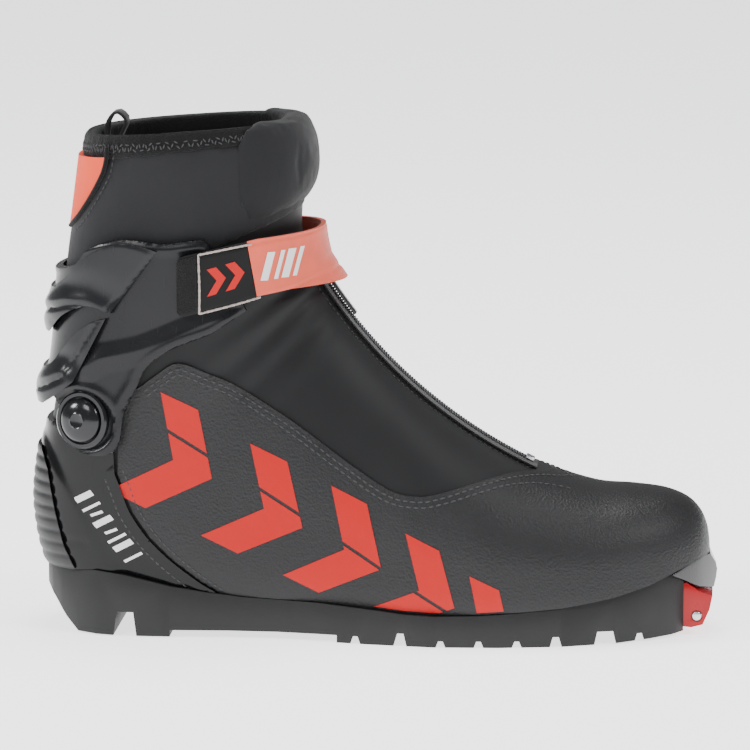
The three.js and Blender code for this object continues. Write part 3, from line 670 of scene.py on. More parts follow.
SECTIONS: tuple[Section, ...] = (
    Section((133.2, 36.5), (133.2, 27.0), 3.4, 0.5, 2.0, 2.0),
    Section((132.2, 42.0), (132.2, 22.0), 9.0, 0.52, 2.1, 2.6),
    Section((129.5, 47.6), (129.5, 19.5), 15.5, 0.55, 2.2, 3.2),
    Section((124.5, 52.0), (124.5, 17.5), 21.5, 0.58, 2.3, 4.0),
    Section((116.0, 54.9), (116.0, 15.0), 28.3, 0.6, 2.35, 4.5),
    Section((104.0, 56.1), (104.0, 12.0), 34.4, 0.6, 2.4, 5.0),
    Section((88.0, 57.4), (88.0, 8.5), 39.4, 0.6, 2.35, 5.0),
    Section(on_zip(0.0), (66.0, 6.0), 42.2, 0.62, 2.2, 5.0),
    Section(on_zip(0.2), (42.0, 4.5), 43.2, 0.64, 2.1, 5.0),
    Section(on_zip(0.4), (15.0, 4.5), 40.6, 0.64, 2.1, 5.0),
    Section(on_zip(0.55), (-18.0, 7.0), 35.5, 0.62, 2.2, 5.0),
    Section(on_zip(0.7), (-57.0, 9.0), 33.0, 0.6, 2.3, 4.6),
    Section(on_zip(0.8), (-96.0, 14.0), 32.2, 0.57, 2.4, 3.8),
    Section(on_zip(0.88), (-123.0, 20.0), 32.2, 0.55, 2.4, 3.0),
    Section(on_zip(0.94), (-132.4, 48.0), 32.6, 0.52, 2.4, 2.6),
    Section(on_zip(1.0), (-129.0, 82.0), 33.2, 0.5, 2.4, 2.5),
    Section((-28.6, 160.0), (-124.0, 112.0), 34.0, 0.5, 2.4, 2.4),
    Section((-28.4, 172.0), (-121.4, 142.0), 34.6, 0.5, 2.4, 2.4),
    Section((-28.0, 187.0), (-117.5, 170.0), 35.2, 0.5, 2.4, 2.4),
    Section((-31.5, 205.0), (-113.7, 199.0), 35.8, 0.5, 2.4, 2.4),
)
RIM = float(len(SECTIONS) - 1)


@dataclass
class Skin:
    """The boot's outer form, from which every shell takes its place by an offset."""

    sections: Sequence[Section] = SECTIONS
    toe_lean: float = 3.0
    lean_end: float = 134.0
    drawn_toe: float = 138.0
    nose_reach: float = 0.3
    shift: Pair = field(init=False)
    rows: np.ndarray = field(init=False)
    grids: dict[Side, tuple[np.ndarray, ...]] = field(init=False, default_factory=dict)

    def __post_init__(self) -> None:
        """Packs the sections into one table and reads the frame's shift."""
        self.rows = np.array([[*s.front, *s.back, s.half, s.wide, s.top, s.low] for s in self.sections])
        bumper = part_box("toe_bumper")[1]
        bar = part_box("toe_bar")
        self.shift = (bumper.x / MM - self.drawn_toe, (bar[0].y + bar[1].y) / 2 / MM)

    def loops(self, place: np.ndarray) -> np.ndarray:
        """The loop's eight sizes at places between the sections.

        Args:
            place: places from toe to rim.

        Returns:
            One row of sizes for each place.
        """
        last = len(self.rows) - 1
        low = np.minimum(np.floor(place).astype(int), last - 1)
        share = (place - low)[:, None]
        a, b, c, d = (self.rows[np.clip(low + step, 0, last)] for step in (-1, 0, 1, 2))
        rise, fall, step = (c - a) / 2, (d - b) / 2, c - b
        return b + share * (rise + share * (3 * step - 2 * rise - fall + share * (rise + fall - 2 * step)))

    def point(self, place: np.ndarray, turn: np.ndarray) -> np.ndarray:
        """Points of the skin, in millimetres.

        Args:
            place: places from toe to rim.
            turn: angles from the front line over the outer side to the back.

        Returns:
            One point for each pair.
        """
        fx, fz, bx, bz, half, wide, top, low = self.loops(np.maximum(place, 0.0)).T
        along, across = np.cos(turn), np.sin(turn)
        power = 2 / np.where(along > 0, top, low)
        bend = np.abs(along) ** power
        depth = np.where(along > 0, wide * (1 - bend), wide + (1 - wide) * bend)
        x = fx + (bx - fx) * depth
        side = -np.sign(across) * np.abs(across) ** power * half
        z = fz + (bz - fz) * depth
        lean = np.clip(x / self.lean_end, 0, 1)
        return np.stack([x, side + self.toe_lean * lean * lean * (3 - 2 * lean), z], axis=1)

    def normal(self, place: np.ndarray, turn: np.ndarray) -> np.ndarray:
        """Unit normals of the skin, pointing outwards.

        Args:
            place: places from toe to rim.
            turn: angles round the section.

        Returns:
            One normal for each pair.
        """
        step = 0.02
        before = np.clip(place - step, 0.0, RIM)
        after = np.clip(place + step, 0.0, RIM)
        lengthwise = self.point(after, turn) - self.point(before, turn)
        near = np.clip(place, 0.0, RIM)
        round_it = self.point(near, turn + 3 * step) - self.point(near, turn - 3 * step)
        out = np.cross(lengthwise, round_it)
        return out / np.maximum(np.linalg.norm(out, axis=1, keepdims=True), 1e-9)

    def offset(self, place: np.ndarray, turn: np.ndarray, away: Away) -> np.ndarray:
        """Points a distance off the skin.

        Args:
            place: places from toe to rim.
            turn: angles round the section.
            away: a distance, or a function of place, turn and the skin's points.

        Returns:
            The points, in millimetres.
        """
        held = np.maximum(place, 0.0)
        base = self.point(held, turn)
        reach = away(held, turn, base) if callable(away) else np.full(len(place), float(away))
        spots = base + self.normal(held, turn) * reach[:, None]
        toe = self.sections[0]
        middle = np.stack([toe.front[0] + self.nose_reach + reach, np.full(len(place), self.toe_lean),
                           np.full(len(place), (toe.front[1] + toe.back[1]) / 2)], axis=1)
        nose = np.clip(-place, 0.0, 1.0)[:, None]
        return spots * (1 - nose) + middle * nose

    def locate(self, spots: Sequence[Pair], side: Side) -> tuple[np.ndarray, np.ndarray]:
        """Finds side-view positions on the skin.

        Args:
            spots: X and Z pairs.
            side: the boot's side.

        Returns:
            The places and turns of those positions.
        """
        if side not in self.grids:
            places, turns = np.linspace(0, RIM, 420), np.linspace(0.02, math.pi - 0.02, 150)
            place, turn = np.meshgrid(places, turns, indexing="ij")
            place, turn = place.ravel(), turn.ravel()
            if side is Side.INNER:
                turn = 2 * math.pi - turn
            self.grids[side] = (place, turn, self.point(place, turn)[:, [0, 2]])
        place, turn, flat = self.grids[side]
        found = [int(np.argmin(((flat - np.array(spot)) ** 2).sum(axis=1))) for spot in spots]
        p, t = place[found].copy(), turn[found].copy()
        goal = np.array(spots)
        for _ in range(6):
            here = self.point(p, t)[:, [0, 2]]
            by_place = (self.point(p + 0.01, t)[:, [0, 2]] - here) / 0.01
            by_turn = (self.point(p, t + 0.01)[:, [0, 2]] - here) / 0.01
            miss = goal - here
            size = by_place[:, 0] * by_turn[:, 1] - by_place[:, 1] * by_turn[:, 0]
            size = np.where(np.abs(size) < 1e-6, 1e-6, size)
            p = p + np.clip((miss[:, 0] * by_turn[:, 1] - miss[:, 1] * by_turn[:, 0]) / size, -0.2, 0.2)
            t = t + np.clip((by_place[:, 0] * miss[:, 1] - by_place[:, 1] * miss[:, 0]) / size, -0.1, 0.1)
            p = np.clip(p, 0, RIM)
        return p, t

    def on_side(self, spots: Sequence[Pair], side: Side, away: float) -> tuple[np.ndarray, np.ndarray]:
        """Points and normals over side-view positions.

        Args:
            spots: X and Z pairs.
            side: the boot's side.
            away: the distance off the skin.

        Returns:
            The points in millimetres, and the normals.
        """
        place, turn = self.locate(spots, side)
        normals = self.normal(place, turn)
        return self.point(place, turn) + normals * away, normals

    def to_frame(self, points: np.ndarray) -> np.ndarray:
        """Millimetres of the drawing to metres of the frame."""
        return (points + np.array([self.shift[0], self.shift[1], 0.0])) * MM


SKIN = Skin()


# ------------------------------------------------------------------ outlines and cutters


def rounded(points: Sequence[Pair], steps: int = 6, closed: bool = False) -> list[Pair]:
    """A smooth line through points.

    Args:
        points: the points.
        steps: how many pieces each span is cut into.
        closed: whether the line closes on itself.

    Returns:
        The line's points.
    """
    pts = np.array(points, dtype=float)
    count = len(pts)
    made: list[Pair] = []
    for i in range(count if closed else count - 1):
        if closed:
            a, b, c, d = (pts[(i + k) % count] for k in (-1, 0, 1, 2))
        else:
            a, b, c, d = (pts[min(max(i + k, 0), count - 1)] for k in (-1, 0, 1, 2))
        for j in range(steps):
            s = j / steps
            bend, sway = 2 * a - 5 * b + 4 * c - d, 3 * b - a - 3 * c + d
            p = 0.5 * (2 * b + (c - a) * s + bend * s * s + sway * s**3)
            made.append((float(p[0]), float(p[1])))
    if not closed:
        made.append((float(pts[-1][0]), float(pts[-1][1])))
    return made


def line_distance(flat: np.ndarray, points: Sequence[Pair]) -> np.ndarray:
    """How far side-view positions lie from an open line.

    Args:
        flat: X and Z pairs.
        points: the line.

    Returns:
        The distances.
    """
    best = np.full(len(flat), 1e9)
    for start, end in zip(points[:-1], points[1:]):
        a, b = np.array(start), np.array(end)
        line = b - a
        share = np.clip(((flat - a) @ line) / max(float(line @ line), 1e-9), 0, 1)
        best = np.minimum(best, np.linalg.norm(flat - (a + share[:, None] * line), axis=1))
    return best


def smooth_step(value: np.ndarray) -> np.ndarray:
    """Eases from 0 to 1."""
    held = np.clip(value, 0, 1)
    return held * held * (3 - 2 * held)


@dataclass(frozen=True)
class Outline:
    """A closed side-view outline in millimetres, taken through the boot between two values of Y."""

    points: tuple[Pair, ...]
    low_y: float = -90.0
    high_y: float = 90.0

    def distance(self, flat: np.ndarray) -> np.ndarray:
        """How far side-view positions lie from the outline's edge.

        Args:
            flat: X and Z pairs.

        Returns:
            The distances.
        """
        return line_distance(flat, [*self.points, self.points[0]])

    def cutter(self) -> bpy.types.Object:
        """The outline as a solid, for cutting shells."""
        mesh = bmesh.new()
        ends = SKIN.to_frame(np.array([[x, self.low_y, z] for x, z in self.points]))
        face = mesh.faces.new([mesh.verts.new(p) for p in ends])
        side = bmesh.ops.extrude_face_region(mesh, geom=[face])
        moved = [v for v in side["geom"] if isinstance(v, bmesh.types.BMVert)]
        bmesh.ops.translate(mesh, vec=(0, (self.high_y - self.low_y) * MM, 0), verts=moved)
        bmesh.ops.recalc_face_normals(mesh, faces=mesh.faces)
        return Workshop.keep("cutter", mesh)


class Workshop:
    """Shared steps that turn bmeshes into finished pieces."""

    @staticmethod
    def keep(name: str, mesh: bmesh.types.BMesh) -> bpy.types.Object:
        """Makes an object of a bmesh and frees it.

        Args:
            name: the object's name.
            mesh: the bmesh.

        Returns:
            The object.
        """
        data = bpy.data.meshes.new(name)
        mesh.to_mesh(data)
        mesh.free()
        made = bpy.data.objects.new(name, data)
        bpy.context.scene.collection.objects.link(made)
        return made

    @staticmethod
    def grid(columns: int, rows: int, wide: Pair, tall: Pair) -> bmesh.types.BMesh:
        """A unit grid about the origin, with a surface map in millimetres.

        Args:
            columns: cells across it.
            rows: cells up it.
            wide: the map's first and last value across.
            tall: the map's first and last value up.

        Returns:
            The grid.
        """
        mesh = bmesh.new()
        bmesh.ops.create_grid(mesh, x_segments=columns, y_segments=rows, size=0.5, calc_uvs=True)
        chart = mesh.loops.layers.uv.verify()
        for face in mesh.faces:
            for loop in face.loops:
                u, v = loop.vert.co.x + 0.5, loop.vert.co.y + 0.5
                loop[chart].uv = (wide[0] + u * (wide[1] - wide[0]), tall[0] + v * (tall[1] - tall[0]))
        return mesh

    @staticmethod
    def shares(mesh: bmesh.types.BMesh) -> np.ndarray:
        """Each vertex's share of the way across and up a unit grid, as two rows."""
        return np.array([v.co[:2] for v in mesh.verts]).T + 0.5

    @staticmethod
    def form(mesh: bmesh.types.BMesh, spots: np.ndarray) -> None:
        """Moves a grid's vertices to spots in metres, and welds and orients it.

        Args:
            mesh: the grid.
            spots: one spot for each vertex.
        """
        for vert, spot in zip(mesh.verts, spots):
            vert.co = spot
        bmesh.ops.remove_doubles(mesh, verts=mesh.verts, dist=WELD)
        bmesh.ops.recalc_face_normals(mesh, faces=mesh.faces)

    @staticmethod
    def close(mesh: bmesh.types.BMesh, weld: float) -> None:
        """Welds a form, fills its open ends and orients it.

        Args:
            mesh: the form.
            weld: how close vertices are merged, in metres.
        """
        bmesh.ops.remove_doubles(mesh, verts=mesh.verts, dist=weld)
        bmesh.ops.holes_fill(mesh, edges=[e for e in mesh.edges if e.is_boundary], sides=0)
        bmesh.ops.recalc_face_normals(mesh, faces=mesh.faces)

    @staticmethod
    def settle(piece: bpy.types.Object) -> None:
        """Applies every modifier of a piece."""
        graph = bpy.context.evaluated_depsgraph_get()
        data = bpy.data.meshes.new_from_object(piece.evaluated_get(graph), depsgraph=graph)
        old = piece.data
        piece.modifiers.clear()
        piece.data = data
        bpy.data.meshes.remove(old)

    @staticmethod
    def cut(piece: bpy.types.Object, keep: Sequence[Outline] = (),
            drop: Sequence[Outline] = ()) -> bpy.types.Object:
        """Trims a piece by outlines.

        Args:
            piece: the piece.
            keep: outlines it is kept inside.
            drop: outlines it is removed inside.

        Returns:
            The trimmed piece.
        """
        tools = []
        for outline, operation in [*((o, "INTERSECT") for o in keep), *((o, "DIFFERENCE") for o in drop)]:
            tool = outline.cutter()
            tools.append(tool)
            step = piece.modifiers.new("trim", "BOOLEAN")
            step.operation = operation
            step.solver = "MANIFOLD"
            step.object = tool
        if tools:
            bpy.context.view_layer.update()
            Workshop.settle(piece)
        for tool in tools:
            data = tool.data
            bpy.data.objects.remove(tool)
            bpy.data.meshes.remove(data)
        return piece

    @staticmethod
    def dress(piece: bpy.types.Object, finish: Finish, body: Optional[Body], slot: str,
              replaces: Sequence[str] = (), sharp: float = 38.0) -> None:
        """Shades a piece, gives it its finish and ties it to its body.

        Args:
            piece: the piece.
            finish: its finish.
            body: the body it rides on, or None to leave it on no body.
            slot: the record's material slot; not used.
            replaces: the CAD nodes it stands for.
            sharp: the angle, in degrees, above which an edge stays sharp.
        """
        piece.data.materials.clear()
        piece.data.materials.append(finish.material())
        piece.data.polygons.foreach_set("use_smooth", [True] * len(piece.data.polygons))
        piece.data.set_sharp_from_angle(angle=math.radians(sharp))
        if body is not None:
            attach(piece, body.value)
        if replaces:
            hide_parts(*replaces)
        LOG.info("%s: %d faces", piece.name, len(piece.data.polygons))

    @staticmethod
    def join(name: str, pieces: Sequence[bpy.types.Object]) -> bpy.types.Object:
        """Joins pieces into one object.

        Args:
            name: the new object's name.
            pieces: the pieces.

        Returns:
            The joined object.
        """
        whole = bmesh.new()
        for piece in pieces:
            whole.from_mesh(piece.data)
            data = piece.data
            bpy.data.objects.remove(piece)
            bpy.data.meshes.remove(data)
        return Workshop.keep(name, whole)

    @staticmethod
    def copy_node(name: str, node: str, bevel: float, segments: int = 2,
                  angle: float = 30.0) -> bpy.types.Object:
        """A merged copy of a CAD node with its sharp edges rounded.

        Args:
            name: the copy's name.
            node: the CAD node.
            bevel: the rounding, in millimetres.
            segments: steps across each rounding.
            angle: edges sharper than this many degrees are rounded.

        Returns:
            The copy.
        """
        mesh = bmesh.new()
        mesh.from_mesh(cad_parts[node].data)
        bmesh.ops.transform(mesh, matrix=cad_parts[node].matrix_world, verts=mesh.verts)
        bmesh.ops.remove_doubles(mesh, verts=mesh.verts, dist=2e-6)
        bmesh.ops.dissolve_limit(mesh, angle_limit=math.radians(0.6), verts=mesh.verts, edges=mesh.edges,
                                 use_dissolve_boundaries=False, delimit=set())
        made = Workshop.keep(name, mesh)
        if bevel > 0:
            step = made.modifiers.new("round", "BEVEL")
            step.width = bevel * MM
            step.segments = segments
            step.limit_method = "ANGLE"
            step.angle_limit = math.radians(angle)
            step.use_clamp_overlap = True
            step.harden_normals = False
            bpy.context.view_layer.update()
            Workshop.settle(made)
        return made


@dataclass(frozen=True)
class Shell:
    """A piece cut from an even layer over the skin."""

    name: str
    outer: Away
    thick: float
    first: float = -1.0
    last: float = RIM
    around: int = 112
    rows: int = 120
    turns: Pair = (0.0, 2 * math.pi)
    keep: tuple[Outline, ...] = ()
    drop: tuple[Outline, ...] = ()

    def build(self) -> bpy.types.Object:
        """Forms a grid over the skin, thickens it and trims it.

        Returns:
            The piece.
        """
        start, sweep = self.turns[0], self.turns[1] - self.turns[0]
        mesh = Workshop.grid(self.around, self.rows, (0.0, sweep * CHART_ROUND),
                             (self.first * CHART_ALONG, self.last * CHART_ALONG))
        across, up = Workshop.shares(mesh)
        place = self.first + up * (self.last - self.first)
        Workshop.form(mesh, SKIN.to_frame(SKIN.offset(place, start + across * sweep, self.outer)))
        self._face_outwards(mesh)
        bmesh.ops.solidify(mesh, geom=mesh.faces[:], thickness=self.thick * MM)
        bmesh.ops.recalc_face_normals(mesh, faces=mesh.faces)
        piece = Workshop.keep(self.name, mesh)
        return Workshop.cut(piece, self.keep, self.drop)

    @staticmethod
    def _face_outwards(mesh: bmesh.types.BMesh) -> None:
        """Turns the open shell's faces so that they look away from the boot's middle."""
        middle = sum((v.co for v in mesh.verts), Vector()) / len(mesh.verts)
        vote = sum(1 if f.normal.dot(f.calc_center_median() - middle) > 0 else -1 for f in mesh.faces)
        if vote < 0:
            bmesh.ops.reverse_faces(mesh, faces=mesh.faces)


@dataclass(frozen=True)
class Seam:
    """A row of stitches along points over the boot."""

    name: str
    pitch: float = 3.0
    length: float = 2.3
    radius: float = 0.36
    flatness: float = 0.75

    def build(self, points: np.ndarray, normals: np.ndarray) -> bpy.types.Object:
        """Lays the stitches.

        Args:
            points: the line, in millimetres.
            normals: the surface normals along it.

        Returns:
            The stitches as one piece.
        """
        steps = np.linalg.norm(np.diff(points, axis=0), axis=1)
        run = np.concatenate([[0.0], np.cumsum(steps)])
        mesh = bmesh.new()
        for where in np.arange(self.pitch / 2, run[-1], self.pitch):
            spot = np.array([np.interp(where, run, points[:, k]) for k in range(3)])
            ahead = np.array([np.interp(where + 0.5, run, points[:, k]) for k in range(3)])
            behind = np.array([np.interp(where - 0.5, run, points[:, k]) for k in range(3)])
            up = Vector([np.interp(where, run, normals[:, k]) for k in range(3)]).normalized()
            along = Vector(ahead - behind).normalized()
            across = up.cross(along).normalized()
            up = along.cross(across)
            turn = Matrix((along, across, up)).transposed().to_4x4()
            half, wide = self.length / 2 * MM, self.radius * MM
            size = Matrix.Diagonal((half, wide, wide * self.flatness, 1.0))
            centre = SKIN.to_frame(spot[None, :])[0]
            bmesh.ops.create_uvsphere(mesh, u_segments=8, v_segments=5, radius=1.0,
                                      matrix=Matrix.Translation(centre) @ turn @ size)
        return Workshop.keep(self.name, mesh)

    def along(self, spots: Sequence[Pair], side: Side, away: float) -> bpy.types.Object:
        """Lays the stitches over side-view positions.

        Args:
            spots: X and Z pairs.
            side: the boot's side.
            away: the distance off the skin.

        Returns:
            The stitches as one piece.
        """
        return self.build(*SKIN.on_side(spots, side, away))


@dataclass(frozen=True)
class Patch:
    """A thin piece over a side-view outline on one side of the boot."""

    name: str
    points: tuple[Pair, ...]
    side: Side
    outer: Away
    thick: float
    keep: tuple[Outline, ...] = ()
    drop: tuple[Outline, ...] = ()
    spacing: float = 1.2

    def build(self) -> bpy.types.Object:
        """Forms a small shell under the outline and trims it.

        Returns:
            The piece.
        """
        place, turn = SKIN.locate(rounded(self.points, 6, closed=True), self.side)
        places = (max(float(place.min()) - 0.2, -0.9), min(float(place.max()) + 0.2, RIM))
        turns = (float(turn.min()) - 0.12, float(turn.max()) + 0.12)
        low, high = (-90.0, 0.0) if self.side is Side.OUTER else (0.0, 90.0)
        width = max(p[0] for p in self.points) - min(p[0] for p in self.points)
        height = max(p[1] for p in self.points) - min(p[1] for p in self.points)
        cells = int(min(max((width + height) / self.spacing, 12), 110))
        return Shell(self.name, self.outer, self.thick, places[0], places[1], cells, cells, turns,
                     (Outline(self.points, low, high), *self.keep), self.drop).build()


def spun(name: str, profile: Sequence[Pair], seat: Vector, up: Vector, steps: int) -> bpy.types.Object:
    """A turned piece.

    Args:
        name: the piece's name.
        profile: radius and height pairs, in millimetres.
        seat: where its axis starts, in metres.
        up: the axis.
        steps: steps round it.

    Returns:
        The piece.
    """
    mesh = bmesh.new()
    verts = [mesh.verts.new((r * MM, 0.0, h * MM)) for r, h in profile]
    edges = [mesh.edges.new((a, b)) for a, b in zip(verts[:-1], verts[1:])]
    bmesh.ops.spin(mesh, geom=verts + edges, cent=(0, 0, 0), axis=(0, 0, 1), angle=2 * math.pi, steps=steps,
                   use_merge=True, use_duplicate=False)
    Workshop.close(mesh, 1e-6)
    turn = up.to_track_quat("Z", "X").to_matrix().to_4x4()
    bmesh.ops.transform(mesh, matrix=Matrix.Translation(seat) @ turn, verts=mesh.verts)
    return Workshop.keep(name, mesh)


def tube(name: str, points: np.ndarray, radius: float, ragged: float = 0.0) -> bpy.types.Object:
    """A round cord along points.

    Args:
        name: the piece's name.
        points: the line, in metres.
        radius: its radius, in metres.
        ragged: how uneven its radius is, as a share.

    Returns:
        The piece.
    """
    mesh = Workshop.grid(len(points) - 1, TUBE_SIDES, (0.0, float(len(points))), (0.0, 6.0))
    along = np.gradient(points, axis=0)
    along /= np.maximum(np.linalg.norm(along, axis=1, keepdims=True), 1e-12)
    for vert in mesh.verts:
        index = int(round((vert.co.x + 0.5) * (len(points) - 1)))
        angle = (vert.co.y + 0.5) * 2 * math.pi
        line = Vector(along[index])
        first = line.cross(Vector((0.31, 0.2, 0.93))).normalized()
        second = line.cross(first)
        reach = radius * (1 + ragged * math.sin(index * 2.3 + angle * 2) * math.sin(index * 0.9))
        vert.co = Vector(points[index]) + (first * math.cos(angle) + second * math.sin(angle)) * reach
    Workshop.close(mesh, 1e-7)
    return Workshop.keep(name, mesh)


def plump(piece: bpy.types.Object, voxel: float, pressure: float, cap: float) -> None:
    """Fills a closed piece with pressure as cloth, so that it swells and creases.

    Args:
        piece: the piece.
        voxel: the cloth's cell, in millimetres.
        pressure: the filling's pressure.
        cap: the furthest a point may move, in millimetres.
    """
    step = piece.modifiers.new("cells", "REMESH")
    step.mode = "VOXEL"
    step.voxel_size = voxel * MM
    bpy.context.view_layer.update()
    Workshop.settle(piece)
    start = np.array([v.co for v in piece.data.vertices])
    cloth = piece.modifiers.new("cloth", "CLOTH")
    cloth.settings.use_pressure = True
    cloth.settings.uniform_pressure_force = pressure
    cloth.settings.quality = 4
    cloth.settings.mass = 0.2
    cloth.settings.tension_stiffness = 12.0
    cloth.settings.compression_stiffness = 12.0
    cloth.settings.bending_stiffness = 1.5
    cloth.settings.shrink_min = -0.06
    cloth.settings.effector_weights.gravity = 0.0
    cloth.point_cache.frame_start = 1
    cloth.point_cache.frame_end = CLOTH_FRAMES
    scene = bpy.context.scene
    for moment in range(1, CLOTH_FRAMES + 1):
        scene.frame_set(moment)
    graph = bpy.context.evaluated_depsgraph_get()
    moved = np.array([v.co for v in piece.evaluated_get(graph).data.vertices])
    piece.modifiers.clear()
    scene.frame_set(1)
    shift = moved - start
    shift -= shift.mean(axis=0)
    length = np.linalg.norm(shift, axis=1, keepdims=True)
    shift *= np.minimum(1.0, cap * MM / np.maximum(length, 1e-9))
    LOG.info("%s: cloth moved up to %.1f mm", piece.name, float(np.linalg.norm(shift, axis=1).max()) / MM)
    for vert, spot in zip(piece.data.vertices, start + shift):
        vert.co = spot
    smooth = piece.modifiers.new("smooth", "SUBSURF")
    smooth.levels = smooth.render_levels = 1
    bpy.context.view_layer.update()
    Workshop.settle(piece)


def chart_by_box(piece: bpy.types.Object) -> None:
    """Gives a piece a surface map in millimetres, from the two axes each face lies nearest to.

    Args:
        piece: the piece.
    """
    mesh = bmesh.new()
    mesh.from_mesh(piece.data)
    chart = mesh.loops.layers.uv.verify()
    for face in mesh.faces:
        axis = max(range(3), key=lambda k: abs(face.normal[k]))
        first, second = [k for k in range(3) if k != axis]
        for loop in face.loops:
            loop[chart].uv = (loop.vert.co[first] / MM, loop.vert.co[second] / MM)
    mesh.to_mesh(piece.data)
    mesh.free()


def inset_line(points: Sequence[Pair], by: float) -> list[Pair]:
    """A line moved to its right by a distance.

    Args:
        points: the line.
        by: the distance in millimetres, to the left if negative.

    Returns:
        The moved line.
    """
    pts = np.array(points)
    along = np.gradient(pts, axis=0)
    along /= np.maximum(np.linalg.norm(along, axis=1, keepdims=True), 1e-9)
    moved = pts + np.stack([along[:, 1], -along[:, 0]], axis=1) * by
    return [(float(x), float(z)) for x, z in moved]


def soft_edge(outline: Outline, level: float, roll: float, drop: float) -> Away:
    """An offset that falls away near an outline, so that a cut edge looks turned.

    Args:
        outline: the outline.
        level: the offset away from the edge.
        roll: how wide the turned edge is.
        drop: how far it falls.

    Returns:
        The offset as a function.
    """

    def away(place: np.ndarray, turn: np.ndarray, base: np.ndarray) -> np.ndarray:
        """The offset at points of the skin."""
        near = np.clip(outline.distance(base[:, [0, 2]]) / roll, 0, 1)
        return level - drop * (1 - np.sqrt(1 - (1 - near) ** 2))

    return away


# ------------------------------------------------------------------ side-view lines, in millimetres

SEAT_LINE: tuple[Pair, ...] = (
    (-150, 25.4), (-119.4, 25.4), (-108.6, 26.4), (-96.7, 25), (-78.8, 20.8), (-64.5, 18.5),
    (-50, 16.8), (-35.9, 16.1), (-19.3, 15.6), (1.4, 14), (15, 12.7), (26.3, 12.3), (44, 12.8),
    (60, 13.8), (77, 15.3), (97.5, 19), (111.7, 23.1), (121.6, 27.3), (128.8, 30.2), (134, 31.3),
    (150, 31.6),
)
COUNTER_FRONT: tuple[Pair, ...] = (
    (-60.8, 18.6), (-67.2, 22.5), (-78.6, 31.3), (-87.6, 40.3), (-94.5, 50.6), (-97.7, 59),
    (-100.4, 66),
)
VAMP_EDGE: tuple[Pair, ...] = (
    (-90, 101), (-83, 106.2), (-74.7, 110.6), (-62, 106), (-51, 101), (-29.3, 87.2), (-9.1, 72.6),
    (7.9, 61.8), (18.7, 59.2), (27.4, 60), (43.6, 64.1), (53.7, 65.8), (62.5, 65.7), (70, 64.6),
    (80, 62.2),
)
HINGE: Pair = (-111.5, 87.0)


def above_seat(lift: float) -> Outline:
    """Everything above the line where the upper meets the sole, raised by a distance."""
    line = [(x, z + lift) for x, z in SEAT_LINE]
    return Outline(tuple([*line, (150.0, 260.0), (-150.0, 260.0)]))


ABOVE_SEAT = above_seat(0.2)


def wedge_line(x: Union[float, np.ndarray]) -> Union[float, np.ndarray]:
    """The height above which the shaft moves wholly with the cuff."""
    return 170.5 + 0.46 * (x + 28.0)


CUFF_TOP: tuple[Pair, ...] = (
    (-47.7, 131.9), (-52, 141), (-62, 157.6), (-65.7, 160.2), (-79.8, 158.6), (-95.9, 160),
    (-110.3, 155.4), (-119.5, 147), (-150, 142),
)
CUFF_CORNER: Pair = (-150.0, 98.0)
CUFF_ARM: tuple[Pair, ...] = (
    (-128, 98), (-123.6, 92), (-122.6, 84.5), (-118, 77.2), (-109.9, 73.4), (-101.8, 74.5), (-98, 79.8),
    (-95.9, 91.9), (-90.6, 102.1), (-87, 109.4), (-77.8, 116.4), (-61.7, 122.6),
)


@dataclass(frozen=True)
class Blade:
    """A wing's side-view outline: its upper edge, two corners left sharp, and its lower edge."""

    top: tuple[Pair, ...]
    corners: tuple[Pair, ...]
    low: tuple[Pair, ...]


UPPER_WING = Blade(
    top=((-82.2, 155.8), (-91.4, 158.6), (-99.5, 158), (-111.5, 152.2), (-119.5, 143.5), (-127.1, 138)),
    corners=((-150, 135), (-150, 118.5)),
    low=((-128.3, 120.2), (-122, 128), (-114, 132.5), (-107.5, 133), (-101.5, 130.5)),
)
LOWER_WING = Blade(
    top=((-103, 128.6), (-109, 126.6), (-115.5, 122), (-122, 114.5), (-130.3, 106), (-150, 103)),
    corners=((-150, 91.5), (-130.7, 92)),
    low=((-124.5, 96.5), (-116.8, 102.6)),
)
COUNTER_BACK: tuple[Pair, ...] = (
    (-100.8, 74), (-101.2, 86), (-103.2, 90.6), (-106.4, 93.6), (-111.5, 95), (-116.2, 93.6),
    (-119.6, 89.4), (-121.4, 85), (-128, 84.4), (-150, 84), (-150, 0), (-61, 0),
)
GUARD_LINE: tuple[Pair, ...] = (
    (-150, 74), (-131.8, 74), (-128.6, 66), (-125.5, 50), (-122, 36), (-117.5, 26.5), (-117.5, 20),
    (-150, 20),
)
STRAP_LINE: tuple[Pair, ...] = (
    (-71, 130.4), (-58, 133.8), (-43, 138), (-30, 140.2), (-5, 141.6), (-5, 163.6), (-30, 161.8),
    (-43, 160.7), (-58, 157.5), (-71, 154.4), (-73.2, 153.6), (-74.2, 151.6), (-74.2, 132.4),
    (-73.4, 130.6),
)
PANEL_FRONT: tuple[Pair, ...] = (
    (-102.4, 206), (-102.4, 194.5), (-103.6, 187), (-106.8, 180), (-110.8, 173), (-114.8, 167),
    (-118.6, 162.4),
)


